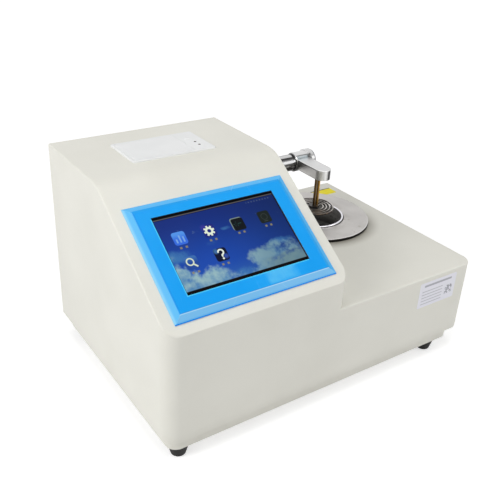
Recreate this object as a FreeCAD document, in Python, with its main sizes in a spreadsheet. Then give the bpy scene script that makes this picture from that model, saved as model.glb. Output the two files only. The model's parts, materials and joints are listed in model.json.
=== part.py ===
import FreeCAD, Part
import os
import Sketcher

# Flash point tester: a sheet-metal console with a sloping touch screen and a printer on top, and
# a low platform at its right whose furnace holds an open test cup under a lifting test arm.
# Lengths are in millimetres. The desk frame used below has X to the right from the console's
# left side, Y back from the front face and Z up from the table. The part's own origin lies
# under the middle of the whole object, on the table.

SIZES = {
    # casing
    "console_margin": 15.4, "platform_width": 222.6, "console_height": 243.5, "lip_height": 138.1,
    "slope_run": 160, "top_length": 141.6, "platform_height": 101, "bend_radius": 50,
    "corner_radius": 18, "edge_radius": 2, "sheet_wall": 1.5, "panel_recess": 0.6, "slip_gap": 0.3,
    # base tray and feet
    "base_height": 14, "base_front_inset": 4.5, "base_left_inset": 6, "base_right_inset": 16,
    "base_rear_inset": 6, "base_corner_radius": 14, "tray_rim_height": 9,
    "foot_height": 17, "foot_top_radius": 13, "foot_bottom_radius": 8.5, "foot_edge_radius": 2.5,
    "foot_left": 22.5, "foot_right_inset": 49, "foot_front": 18, "foot_rear_inset": 25.6,
    "foot_recess_radius": 5, "foot_recess_depth": 7, "foot_hole_radius": 2.2,
    # screws
    "screw_radius": 1.5, "screw_head_radius": 2.9, "screw_head_height": 2.2, "screw_length": 8,
    "foot_screw_radius": 2, "foot_screw_head_radius": 4, "foot_screw_head_height": 3,
    "foot_screw_length": 16, "bore_play": 0.1,
    # screen, in the slope's own frame
    "bezel_left": 14.5, "bezel_low": 12.5, "border_left": 25.8, "border_right": 26.7,
    "border_low": 26, "border_high": 20.6, "bezel_land": 1, "bezel_height": 5, "bezel_bevel": 9.5,
    "bezel_round": 1, "window_width": 156, "window_length": 94.3,
    "window_chamfer": 1, "glass_margin": 4, "glass_thickness": 1.8, "glass_depth": 2,
    "bezel_rim_wall": 2, "bezel_rim_depth": 4, "screen_depth": 7, "bracket_margin": 9,
    "bracket_plate": 1.5, "bracket_post_radius": 3, "bracket_post_inset": 4,
    # printer
    "printer_left": 62.3, "printer_width": 111.9, "printer_rear_inset": 41.1, "printer_length": 65.9,
    "printer_lip": 2, "printer_corner": 3, "printer_round": 1.2, "printer_border": 3.6,
    "printer_tub_inset": 2.8, "printer_tub_depth": 42, "printer_wall": 2.2, "printer_plate": 2.2,
    "door_width": 80, "door_gap": 0.3, "door_thickness": 1.8, "door_pin_radius": 0.9,
    "door_pin_seat": 1.8, "lug_half_width": 2.5, "lug_sheet": 1.6, "button_inset": 17.5,
    "button_reach": 42.4, "button_length": 10.4, "button_radius": 2.6, "button_proud": 0.7,
    "button_round": 0.5, "button_flange": 1.2, "button_stem": 2.5, "button_travel": 0.8,
    "lamp_inset": 14.3, "lamp_reach": 17.2, "lamp_pitch": 10.7, "lamp_radius": 1.7,
    "lamp_proud": 0.4, "roll_radius": 17, "roll_margin": 2.5, "roll_inset": 39.7,
    "roll_clearance": 1.5,
    "spindle_radius": 3, "spindle_seat": 1.2, "platen_radius": 4, "platen_pin_radius": 1.2,
    "platen_inset": 12, "platen_drop": 7.2, "print_head_gap": 0.5, "print_head_thickness": 4,
    "print_head_drop": 8,
    # furnace
    "furnace_offset": 5.5, "arm_reach": 41.5, "disc_radius": 80.4, "disc_hole_radius": 44.7,
    "disc_gap": 2.9, "disc_thickness": 1.5, "disc_round": 0.5, "spacer_radius": 3,
    "spacer_reach": 48, "platform_hole_radius": 58, "cup_inner_radius": 41.2,
    "cup_rim_radius": 43.9, "cup_wall": 1.6, "cup_rim_rise": 6.5, "cup_rim_height": 2.4,
    "cup_depth": 34, "cup_floor": 3, "cup_corner": 6, "cup_play": 0.25, "block_radius": 55,
    "block_floor": 14, "block_top_drop": 4, "sensor_radius": 2.5, "sensor_tail": 10,
    "sensor_seat": 9, "band_thickness": 2.6, "band_height": 22, "band_rise": 8,
    "wool_thickness": 7, "can_wall": 1.5, "can_height": 62, "can_flange": 8,
    "cup_rim_round": 0.8, "fill_mark_drop": 10, "fill_mark_depth": 0.4,
    # test arm
    "arm_rear_inset": 49.6, "arm_rise": 74.4, "sleeve_radius": 12.2, "sleeve_short": 17.9,
    "sleeve_chamfer": 0.8, "sleeve_bush_radius": 9, "sleeve_bush_length": 8,
    "arm_shaft_radius": 6, "bush_radius": 17, "bush_flange_radius": 21, "bush_flange": 4,
    "bush_inner_length": 14, "nut_corner": 23, "nut_thickness": 5, "hexagon_share": 0.8660254,
    "running_gap": 0.06, "washer_radius": 11.4, "washer_thickness": 2.2, "washer_gap": 0.2,
    "head_radius": 14, "head_chamfer": 1.8, "head_flat": 8.6, "cap_radius": 15.8,
    "cap_lap": 2.7, "cap_length": 11.8, "cap_round": 4, "cap_dish_radius": 8, 
    "cap_dish_depth": 1.2, "bar_width": 23.4, "bar_thickness": 14.9,
    "bar_top_rise": 6.9, "bar_offset": 3, "bar_tip_forward": 11.8, "bar_edge": 0.7,
    "bar_notch_gap": 0.4, "tube_radius": 2.2, "tube_spacing": 5, "tube_seat": 8,
    "tube_bore_radius": 1.4, "pilot_drop": 9, "ring_rise": 17.6,
    "ring_radius": 28, "ring_pitch": 4.8, "ring_wire_radius": 1.3, "ring_hub_radius": 7.6,
    "ring_hub_height": 5, "spoke_radius": 1,
    # arm drive
    "coupling_radius": 9.5, "coupling_length": 22, "coupling_grip": 8, "coupling_gap": 5,
    "coupling_slit": 0.5, "motor_shaft_radius": 3, "gearbox_radius": 18.5, "gearbox_length": 24,
    "motor_radius": 17,
    "motor_length": 34, "bracket_width": 44, "bracket_drop": 26, "bracket_sheet": 3,
    # rear panel fittings
    "fitting_height": 34, "inlet_x": 205, "inlet_width": 27.4, "inlet_height": 19.6,
    "inlet_flange": 3, "inlet_flange_depth": 2.6, "inlet_body_depth": 22, "inlet_cavity_wall": 2.2,
    "inlet_cavity_depth": 17, "pin_width": 2, "pin_height": 4, "pin_length": 11, "pin_spread": 7,
    "pin_offset": 3, "switch_x": 163, "switch_width": 13, "switch_height": 19.4,
    "switch_flange": 1.6, "switch_flange_depth": 2, "switch_body_depth": 16, "switch_wall": 1.6,
    "rocker_crown": 3.4, "rocker_dip": 1.6, "rocker_under": 3, "rocker_round": 0.6,
    "rocker_play": 0.9, "rocker_side_play": 0.3, "rocker_pivot_depth": 1.6,
    "rocker_pin_radius": 1.2, "fuse_x": 133, "fuse_radius": 6, "fuse_flange_radius": 7.5,
    "fuse_flange": 2, "fuse_cap_radius": 5.2, "fuse_cap_length": 7, "fuse_body_depth": 26,
    "fuse_slit": 1.2, "port_x": 92, "port_width": 31, "port_height": 12.5, "port_plate": 1,
    "port_shell_width": 17,
    "port_shell_height": 8.4, "port_shell_depth": 6, "port_body_depth": 9, "port_lean": 1.2,
    "port_post_radius": 2.4, "gas_offset": 29.6, "gas_collar_radius": 8, "gas_collar_depth": 4,
    "gas_nut_corner": 8.5, "gas_nut_depth": 4, "gas_stem_radius": 5, "gas_spigot_radius": 4,
    "gas_bore_radius": 2, "gas_tip_chamfer": 0.8, "gas_reach": 20,
    "gas_body_depth": 18, "fan_x": 119, "fan_drop": 78.5, "fan_size": 80, "fan_depth": 25,
    "fan_bore_radius": 38, "fan_corner": 4.5, "fan_hub_radius": 16, "fan_tip_gap": 1.5,
    "fan_plate": 2.5, "fan_strut": 5, "fan_screw_length": 12, "guard_ear_radius": 3.6,
    "guard_ear_sheet": 1.2, "diagonal_share": 0.7071068,
    "blade_sheet": 1.4, "blade_root_chord": 15, "blade_tip_chord": 17, "blade_root_lean": 7.6,
    "blade_tip_lean": 5, "fan_axle_radius": 2, "fan_end_gap": 2, "guard_wire_radius": 0.9,
    "guard_pitch": 8.5, "guard_gap": 1, "vent_right_inset": 46, "vent_length": 70, "vent_low": 38,
    "vent_pitch": 8, "vent_radius": 1.6,
    # inside
    "supply_x": 24, "supply_y": 40, "supply_width": 130, "supply_length": 62, "supply_height": 38,
    "board_x": 26, "board_y": 130, "board_width": 150, "board_length": 96, "board_sheet": 1.6,
    "board_post_height": 8, "board_post_radius": 3, "board_post_inset": 5, "chip_size": 18,
    "chip_height": 3, "relay_size": 16, "relay_height": 15, "valve_offset": 19.6,
    "valve_rear_inset": 65.6, "valve_width": 26, "valve_length": 34, "valve_height": 24, "coil_radius": 10,
    "coil_height": 22, "valve_port_radius": 4, "valve_port_length": 8,
    # labels
    "label_right_inset": 32, "label_drop": 7, "label_width": 67, "label_height": 37,
    "label_sheet": 0.3, "label_corner": 2, "sticker_corner": 1, "sticker_right_inset": 13.7,
    "sticker_rear_inset": 18.1, "sticker_width": 38, "sticker_length": 19, "overrun": 3,
}

FULL_TURN = 360
HALF_TURN = 180
QUARTER_TURN = 90
FAN_BLADES = 7
GUARD_RINGS = 4
DETECTOR_RINGS = 4
VENT_SLOTS = 8
PANEL_BORDER_SCREWS = 6
FAN_STRUTS = 3
RELAYS = 4
ROCKER_TILT = 8
NEAR = 0.05


class Size:
    """A length: text that drives the document, and its value for placing the first geometry."""

    def __init__(self, text, value):
        self.text = text
        self.value = value

    def join(self, sign, other, value):
        return Size(f"({self.text} {sign} {as_size(other).text})", value)

    def __add__(self, other):
        return self.join("+", other, self.value + as_size(other).value)

    def __radd__(self, other):
        return as_size(other) + self

    def __sub__(self, other):
        return self.join("-", other, self.value - as_size(other).value)

    def __rsub__(self, other):
        return as_size(other) - self

    def __mul__(self, other):
        return self.join("*", other, self.value * as_size(other).value)

    def __rmul__(self, other):
        return as_size(other) * self

    def __truediv__(self, other):
        return self.join("/", other, self.value / as_size(other).value)

    def __neg__(self):
        return Size(f"(0 - {self.text})", -self.value)

    def root(self):
        return Size(f"sqrt({self.text})", self.value ** 0.5)


def as_size(thing):
    return thing if isinstance(thing, Size) else Size(repr(thing), thing)


doc = FreeCAD.newDocument("FlashPointTester")
sheet = doc.addObject("Spreadsheet::Sheet", "Sizes")
for row, (alias, number) in enumerate(SIZES.items(), start=1):
    sheet.set(f"A{row}", alias)
    sheet.set(f"B{row}", str(number))
    sheet.setAlias(f"B{row}", alias)
doc.recompute()


def size(alias):
    return Size("Sizes." + alias, SIZES[alias])


# Values that several pieces share
WALL = size("sheet_wall")
GAP = size("slip_gap")
OVERRUN = size("overrun")
WINDOW_LEFT = size("bezel_left") + size("border_left")
WINDOW_RIGHT = WINDOW_LEFT + size("window_width")
WINDOW_LOW = size("bezel_low") + size("border_low")
WINDOW_HIGH = WINDOW_LOW + size("window_length")
BEZEL_RIGHT = WINDOW_RIGHT + size("border_right")
BEZEL_HIGH = WINDOW_HIGH + size("border_high")
CONSOLE = BEZEL_RIGHT + size("console_margin")
WIDTH = CONSOLE + size("platform_width")
DEPTH = size("slope_run") + size("top_length")
COVER_LOW = size("foot_height") + size("base_height")
PLATFORM_TOP = COVER_LOW + size("platform_height")
CONSOLE_TOP = COVER_LOW + size("console_height")
LIP = COVER_LOW + size("lip_height")
RISE = size("console_height") - size("lip_height")
RUN = size("slope_run")
SLOPE_LENGTH = (RUN * RUN + RISE * RISE).root()
TRAY_FLOOR = size("foot_height") + WALL
PANEL_BACK = DEPTH - size("panel_recess")
PANEL_FRONT = PANEL_BACK - WALL
ARM_Y = DEPTH - size("arm_rear_inset")
ARM_Z = PLATFORM_TOP + size("arm_rise")
FURNACE_X = CONSOLE + size("platform_width") / 2 + size("furnace_offset")
FURNACE_Y = ARM_Y - size("arm_reach")
PRINTER_FRONT = DEPTH - size("printer_rear_inset") - size("printer_length")
FITTING_Z = COVER_LOW + size("fitting_height")
FAN_Z = CONSOLE_TOP - size("fan_drop")
GAS_FITTING_X = CONSOLE + size("gas_offset")
ORIGIN_X = WIDTH / 2
ORIGIN_Y = (DEPTH + size("gas_reach") - size("label_sheet")) / 2

pieces = []


def bind(thing, name, length):
    thing.setExpression(name, as_size(length).text)


def place(thing, x=0, y=0, z=0):
    """Moves a piece from the desk frame, or from its own axis, into the part's frame."""
    bind(thing, "Placement.Base.x", x - ORIGIN_X)
    bind(thing, "Placement.Base.y", y - ORIGIN_Y)
    bind(thing, "Placement.Base.z", z)


def place_on_slope(thing):
    place(thing, z=LIP)
    thing.Placement = FreeCAD.Placement(thing.Placement.Base, FreeCAD.Rotation(FreeCAD.Vector(1, 0, 0), 1))
    thing.setExpression("Placement.Rotation.Angle", f"atan({(RISE / RUN).text})")


def keep(thing, label):
    thing.Label = label
    pieces.append(thing)
    return thing


def new_body(label, *spot):
    body = doc.addObject("PartDesign::Body", label)
    place(body, *spot)
    return keep(body, label)


def loose_body(label, x, y, z=0):
    """A body in the desk frame that a group then moves into the part's frame."""
    body = doc.addObject("PartDesign::Body", label)
    for name, length in (("x", x), ("y", y), ("z", z)):
        bind(body, "Placement.Base." + name, length)
    return body


# Sketch outlines

def pin(sketch, geometry, vertex, x, y):
    """Fixes a point of the sketch at its two lengths from the sketch's origin."""
    for kind, length in (("DistanceX", as_size(x)), ("DistanceY", as_size(y))):
        distance = Sketcher.Constraint(kind, -1, 1, geometry, vertex, float(length.value))
        number = sketch.addConstraint(distance)
        sketch.setExpression(f"Constraints[{number}]", length.text)


def spot(x, y):
    return FreeCAD.Vector(as_size(x).value, as_size(y).value, 0)


def polygon(*points):
    def draw(sketch):
        first = sketch.GeometryCount
        count = len(points)
        for i in range(count):
            line = Part.LineSegment(spot(*points[i]), spot(*points[(i + 1) % count]))
            sketch.addGeometry(line, False)
        for i in range(count):
            following = first + (i + 1) % count
            sketch.addConstraint(Sketcher.Constraint("Coincident", first + i, 2, following, 1))
        for i in range(count):
            pin(sketch, first + i, 1, *points[i])
    return draw


def rectangle(x0, y0, x1, y1):
    return polygon((x0, y0), (x1, y0), (x1, y1), (x0, y1))


def circle(x, y, radius):
    def draw(sketch):
        radius_size = as_size(radius)
        ring = Part.Circle(spot(x, y), FreeCAD.Vector(0, 0, 1), radius_size.value)
        number = sketch.addGeometry(ring, False)
        pin(sketch, number, 3, x, y)
        bound = sketch.addConstraint(Sketcher.Constraint("Radius", number, float(radius_size.value)))
        sketch.setExpression(f"Constraints[{bound}]", radius_size.text)
    return draw


def chain(corners, radius):
    """A closed outline of arcs about the given centres, each from its angle on, and tangent lines."""
    def draw(sketch):
        first = sketch.GeometryCount
        r = radius.value
        arcs = []
        for x, y, start, end in corners:
            base = Part.Circle(spot(x, y), FreeCAD.Vector(0, 0, 1), r)
            arcs.append(Part.ArcOfCircle(base, start, end))
        count = len(arcs)
        for i, arc in enumerate(arcs):
            sketch.addGeometry(arc, False)
            line = Part.LineSegment(arc.EndPoint, arcs[(i + 1) % count].StartPoint)
            sketch.addGeometry(line, False)
        for i, (x, y, start, end) in enumerate(corners):
            arc = first + 2 * i
            following = first + 2 * ((i + 1) % count)
            sketch.addConstraint(Sketcher.Constraint("Tangent", arc, 2, arc + 1, 1))
            sketch.addConstraint(Sketcher.Constraint("Tangent", arc + 1, 2, following, 1))
            pin(sketch, arc, 3, x, y)
            bound = sketch.addConstraint(Sketcher.Constraint("Radius", arc, float(r)))
            sketch.setExpression(f"Constraints[{bound}]", radius.text)
    return draw


QUARTER = 1.5707963267948966


def rounded(x0, y0, x1, y1, radius):
    left, right, low, high = x0 + radius, x1 - radius, y0 + radius, y1 - radius
    corners = [(right, low, -QUARTER, 0), (right, high, 0, QUARTER)]
    corners += [(left, high, QUARTER, 2 * QUARTER), (left, low, 2 * QUARTER, 3 * QUARTER)]
    return chain(corners, radius)


def slot(x0, x1, y, radius):
    return chain([(x1, y, -QUARTER, QUARTER), (x0, y, QUARTER, 3 * QUARTER)], radius)


PLANES = {"X": "YZ_Plane", "Y": "XZ_Plane", "Z": "XY_Plane"}


def sketch_on(body, axis, height, outlines):
    """A sketch square to an axis of the body at a height along it; the Y plane's normal is -Y."""
    plane = [item for item in body.Origin.OriginFeatures if item.Role == PLANES[axis]][0]
    sketch = body.newObject("Sketcher::SketchObject", body.Name + "_outline")
    sketch.AttachmentSupport = [(plane, "")]
    sketch.MapMode = "FlatFace"
    bind(sketch, "AttachmentOffset.Base.z", -as_size(height) if axis == "Y" else height)
    for outline in outlines:
        outline(sketch)
    return sketch


def pad(body, axis, start, end, *outlines):
    feature_sketch = sketch_on(body, axis, end if axis == "Y" else start, outlines)
    feature = body.newObject("PartDesign::Pad", body.Name + "_pad")
    feature.Profile = feature_sketch
    bind(feature, "Length", end - start)
    return feature


def pocket(body, axis, start, end, *outlines):
    feature_sketch = sketch_on(body, axis, start if axis == "Y" else end, outlines)
    feature = body.newObject("PartDesign::Pocket", body.Name + "_pocket")
    feature.Profile = feature_sketch
    bind(feature, "Length", end - start)
    return feature


def turn(body, axis, *points, kind="Revolution"):
    """Revolves an outline about the body's own axis; points are (radius, height) or (x, radius)."""
    plane, line = {"X": ("Y", "H_Axis"), "Y": ("Z", "V_Axis"), "Z": ("Y", "V_Axis")}[axis]
    feature_sketch = sketch_on(body, plane, 0, [polygon(*points)])
    feature = body.newObject("PartDesign::" + kind, body.Name + "_turn")
    feature.Profile = feature_sketch
    feature.ReferenceAxis = (feature_sketch, [line])
    feature.Angle = FULL_TURN
    return feature


def edges_of(body, test):
    doc.recompute()
    return [f"Edge{i}" for i, edge in enumerate(body.Tip.Shape.Edges, start=1) if test(edge)]


def dress(body, kind, amount, test):
    """A fillet or chamfer on the edges of the body that pass the test."""
    base = body.Tip
    names = edges_of(body, test)
    feature = body.newObject("PartDesign::" + kind, body.Name + "_" + kind.lower())
    feature.Base = (base, names)
    bind(feature, "Radius" if kind == "Fillet" else "Size", amount)
    return feature


def fillet(body, radius, test):
    return dress(body, "Fillet", radius, test)


def chamfer(body, length, test):
    return dress(body, "Chamfer", length, test)


def span(edge, axis):
    """The lowest and highest place of an edge along an axis, from its ends and its middle."""
    first, last = edge.ParameterRange
    spots = [edge.valueAt(first), edge.valueAt((first + last) / 2), edge.valueAt(last)]
    values = [getattr(point, axis) for point in spots]
    return min(values), max(values)


def lies_at(edge, axis, length):
    low, high = span(edge, axis)
    value = as_size(length).value
    return abs(low - value) < NEAR and abs(high - value) < NEAR


def runs_along(edge, axis):
    return all(lies_at(edge, other, span(edge, other)[0]) for other in "xyz" if other != axis)


def shell(body, test, wall):
    """Hollows the body from the faces that pass the test, leaving its wall inside its outline."""
    doc.recompute()
    base = body.Tip
    names = [f"Face{i}" for i, face in enumerate(base.Shape.Faces, start=1) if test(face)]
    feature = body.newObject("PartDesign::Thickness", body.Name + "_shell")
    feature.Base = (base, names)
    bind(feature, "Value", wall)
    feature.Reversed = True
    return feature


def pattern(body, feature, axis_name, count, length=None):
    """Repeats a feature along, or about, one of the body's own axes."""
    axis = [item for item in body.Origin.OriginFeatures if item.Role == axis_name][0]
    kind = "PolarPattern" if length is None else "LinearPattern"
    copies = body.newObject("PartDesign::" + kind, body.Name + "_pattern")
    copies.Originals = [feature]
    if length is None:
        copies.Axis = (axis, [""])
        copies.Angle = FULL_TURN
    else:
        copies.Direction = (axis, [""])
        bind(copies, "Length", length)
    copies.Occurrences = count
    body.Tip = copies
    return copies


# Primitives for plain pieces and fasteners

TURNED_TO = {"X": ((0, 1, 0), QUARTER_TURN), "-X": ((0, 1, 0), -QUARTER_TURN),
             "Y": ((1, 0, 0), -QUARTER_TURN), "-Y": ((1, 0, 0), QUARTER_TURN),
             "Z": ((0, 0, 1), 0), "-Z": ((1, 0, 0), HALF_TURN)}


def set_at(thing, x, y, z, direction="Z"):
    axis, angle = TURNED_TO[direction]
    thing.Placement = FreeCAD.Placement(FreeCAD.Vector(), FreeCAD.Rotation(FreeCAD.Vector(*axis), angle))
    for name, length in (("x", x), ("y", y), ("z", z)):
        bind(thing, "Placement.Base." + name, length)
    return thing


def rod(x, y, z, radius, length, direction="Z"):
    thing = doc.addObject("Part::Cylinder", "rod")
    bind(thing, "Radius", radius)
    bind(thing, "Height", length)
    return set_at(thing, x, y, z, direction)


def block(x0, y0, z0, x1, y1, z1):
    thing = doc.addObject("Part::Box", "block")
    bind(thing, "Length", x1 - x0)
    bind(thing, "Width", y1 - y0)
    bind(thing, "Height", z1 - z0)
    return set_at(thing, x0, y0, z0)


def torus(x, y, z, ring_radius, wire_radius, direction="Z"):
    thing = doc.addObject("Part::Torus", "torus")
    bind(thing, "Radius1", ring_radius)
    bind(thing, "Radius2", wire_radius)
    return set_at(thing, x, y, z, direction)


def fuse(*things):
    thing = doc.addObject("Part::MultiFuse", "fused")
    thing.Shapes = list(things)
    return thing


def cut(base, tool):
    thing = doc.addObject("Part::Cut", "cut")
    thing.Base = base
    thing.Tool = tool
    return thing


def group(label, things):
    thing = doc.addObject("Part::Compound", label)
    thing.Links = list(things)
    place(thing)
    return keep(thing, label)


def whole(label, thing):
    place(thing)
    return keep(thing, label)


def screw(x, y, z, direction, radius, head_radius, head_height, length):
    """A pan-head screw whose head stands in the given direction from its seat."""
    opposite = direction[1:] if direction.startswith("-") else "-" + direction
    return fuse(rod(x, y, z, head_radius, head_height, direction), rod(x, y, z, radius, length, opposite))


# Casing: cover, rear panel, base tray, feet

def upper_cover():
    body = new_body("upper_cover")
    pad(body, "X", as_size(0), CONSOLE, polygon(
        (0, COVER_LOW), (DEPTH, COVER_LOW), (DEPTH, CONSOLE_TOP), (RUN, CONSOLE_TOP), (0, LIP)))
    pad(body, "Z", COVER_LOW, PLATFORM_TOP, rectangle(0, 0, WIDTH, DEPTH))
    fillet(body, size("corner_radius"), lambda edge: runs_along(edge, "z") and lies_at(edge, "y", 0))
    fillet(body, size("bend_radius"), lambda edge: (
        lies_at(edge, "y", RUN) and lies_at(edge, "z", CONSOLE_TOP)))
    fillet(body, size("edge_radius"), lambda edge: outer_fold(edge))
    shell(body, lambda face: opens_casing(face), WALL)
    rim = size("glass_margin") + size("bezel_rim_wall") + GAP
    low = WINDOW_LOW - rim - WALL
    high = WINDOW_HIGH + rim + WALL
    pocket(body, "Z", COVER_LOW, CONSOLE_TOP + OVERRUN, rectangle(
        WINDOW_LEFT - rim, low * RUN / SLOPE_LENGTH, WINDOW_RIGHT + rim, high * RUN / SLOPE_LENGTH))
    inset = size("printer_border") - size("door_pin_seat") - GAP
    pocket(body, "Z", CONSOLE_TOP - WALL - OVERRUN, CONSOLE_TOP + OVERRUN, rectangle(
        size("printer_left") + inset, PRINTER_FRONT + inset,
        size("printer_left") + size("printer_width") - inset,
        PRINTER_FRONT + size("printer_length") - inset))
    pocket(body, "Z", PLATFORM_TOP - WALL - OVERRUN, PLATFORM_TOP + OVERRUN, circle(
        FURNACE_X, FURNACE_Y, size("platform_hole_radius")))
    pocket(body, "X", CONSOLE - WALL - OVERRUN, CONSOLE + OVERRUN, circle(
        ARM_Y, ARM_Z, size("bush_radius") + size("bore_play")))


def outer_fold(edge):
    """The rounded folds: both sides of the slope and top, the lip, and the platform's top edges."""
    if lies_at(edge, "y", DEPTH) or runs_along(edge, "z"):
        return False
    low, high = span(edge, "z")
    if low < COVER_LOW.value + NEAR:
        return False
    on_platform = abs(low - PLATFORM_TOP.value) < NEAR and abs(high - PLATFORM_TOP.value) < NEAR
    if on_platform:
        return lies_at(edge, "x", WIDTH)
    on_side = lies_at(edge, "x", 0) or lies_at(edge, "x", CONSOLE)
    return on_side or span(edge, "y")[1] < size("corner_radius").value + NEAR


def opens_casing(face):
    box = face.BoundBox
    below = box.ZMax < COVER_LOW.value + NEAR
    behind = box.YMin > DEPTH.value - NEAR
    return below or behind


def rear_panel():
    body = new_body("rear_panel")
    left = WALL + GAP
    step = CONSOLE - WALL - GAP
    right = WIDTH - WALL - GAP
    shelf = PLATFORM_TOP - WALL - GAP
    top = CONSOLE_TOP - WALL - GAP
    pad(body, "Y", PANEL_FRONT, PANEL_BACK, polygon(
        (left, COVER_LOW), (right, COVER_LOW), (right, shelf), (step, shelf), (step, top), (left, top)))
    high = lambda edge: runs_along(edge, "y") and span(edge, "z")[1] > shelf.value - NEAR
    fillet(body, size("edge_radius"), lambda edge: high(edge) and not lies_at(edge, "x", step) or (
        high(edge) and lies_at(edge, "z", top)))
    play = size("bore_play")
    holes = [circle(size("fuse_x"), FITTING_Z, size("fuse_radius") + play),
             circle(GAS_FITTING_X, FITTING_Z, size("gas_stem_radius") + play),
             circle(size("fan_x"), FAN_Z, size("fan_bore_radius"))]
    for name in ("inlet", "switch"):
        half_width = size(name + "_width") / 2 + play
        half_height = size(name + "_height") / 2 + play
        holes.append(rectangle(size(name + "_x") - half_width, FITTING_Z - half_height,
                               size(name + "_x") + half_width, FITTING_Z + half_height))
    half_width = size("port_shell_width") / 2 + play
    half_height = size("port_shell_height") / 2 + play
    holes.append(rectangle(size("port_x") - half_width, FITTING_Z - half_height,
                           size("port_x") + half_width, FITTING_Z + half_height))
    holes += [circle(x, z, size("screw_radius") + play) for x, z in panel_screw_places()]
    pocket(body, "Y", PANEL_FRONT - OVERRUN, PANEL_BACK + OVERRUN, *holes)
    vent_right = WIDTH - size("vent_right_inset")
    vent = pocket(body, "Y", PANEL_FRONT - OVERRUN, PANEL_BACK + OVERRUN, slot(
        vent_right - size("vent_length"), vent_right, COVER_LOW + size("vent_low"), size("vent_radius")))
    pattern(body, vent, "Z_Axis", VENT_SLOTS, size("vent_pitch") * (VENT_SLOTS - 1))


def panel_screw_places():
    """Screw places along the rear panel's border, and the four of the fan."""
    border = size("screw_head_radius") * 3
    fan = size("fan_size") / 2 - size("fan_corner")
    left = border
    right = WIDTH - border
    step = CONSOLE - border
    shelf = PLATFORM_TOP - border
    low = COVER_LOW + size("tray_rim_height") + size("screw_head_radius") * 2
    places = [(left, low), (right, low), (right, shelf),
              (step, CONSOLE_TOP - border), (left, CONSOLE_TOP - border), (step + border * 4, shelf)]
    for side in (-1, 1):
        for level in (-1, 1):
            places.append((size("fan_x") + fan * side, FAN_Z + fan * level))
    return places


def base_tray():
    body = new_body("base_tray")
    pad(body, "Z", size("foot_height"), COVER_LOW, rounded(
        size("base_left_inset"), size("base_front_inset"), WIDTH - size("base_right_inset"),
        DEPTH - size("base_rear_inset"), size("base_corner_radius")))
    inset = WALL + GAP
    pad(body, "Z", COVER_LOW, COVER_LOW + size("tray_rim_height"), rounded(
        inset, inset, WIDTH - inset, PANEL_FRONT - GAP, size("corner_radius") - inset))
    top = (COVER_LOW + size("tray_rim_height")).value
    shell(body, lambda face: face.BoundBox.ZMin > top - NEAR, WALL)
    low = size("foot_height") - OVERRUN
    holes = [circle(x, y, size("foot_screw_radius") + size("bore_play")) for x, y in foot_places()]
    pocket(body, "Z", low, TRAY_FLOOR + OVERRUN, *holes)
    half = size("vent_length") / 2
    slit = pocket(body, "Z", low, TRAY_FLOOR + OVERRUN, slot(
        FURNACE_X - half, FURNACE_X + half, size("foot_front") + size("base_corner_radius") * 4,
        size("vent_radius")))
    pattern(body, slit, "Y_Axis", VENT_SLOTS, size("vent_pitch") * 2 * (VENT_SLOTS - 1))


def foot_places():
    left, right = size("foot_left"), WIDTH - size("foot_right_inset")
    front, rear = size("foot_front"), DEPTH - size("foot_rear_inset")
    return [(left, front), (right, front), (left, rear), (right, rear)]


def feet():
    """Tapered rubber feet, each with a recess below for its screw's head."""
    bodies = []
    top = size("foot_height")
    recess = size("foot_recess_radius")
    hole = size("foot_hole_radius")
    depth = size("foot_recess_depth")
    for x, y in foot_places():
        body = loose_body("foot", x, y)
        bodies.append(body)
        turn(body, "Z", (recess, 0), (size("foot_bottom_radius"), 0), (size("foot_top_radius"), top),
             (hole, top), (hole, depth), (recess, depth))
        fillet(body, size("foot_edge_radius"), lambda edge: lies_at(edge, "z", 0) and (
            edge.Curve.Radius > recess.value + NEAR))
    group("rubber_feet", bodies)
    group("foot_screws", [
        screw(x, y, depth, "-Z", size("foot_screw_radius"), size("foot_screw_head_radius"),
              size("foot_screw_head_height"), size("foot_screw_length"))
        for x, y in foot_places()])


# Screen, built flat in the slope's frame: Y runs up the slope, Z out of it

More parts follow.
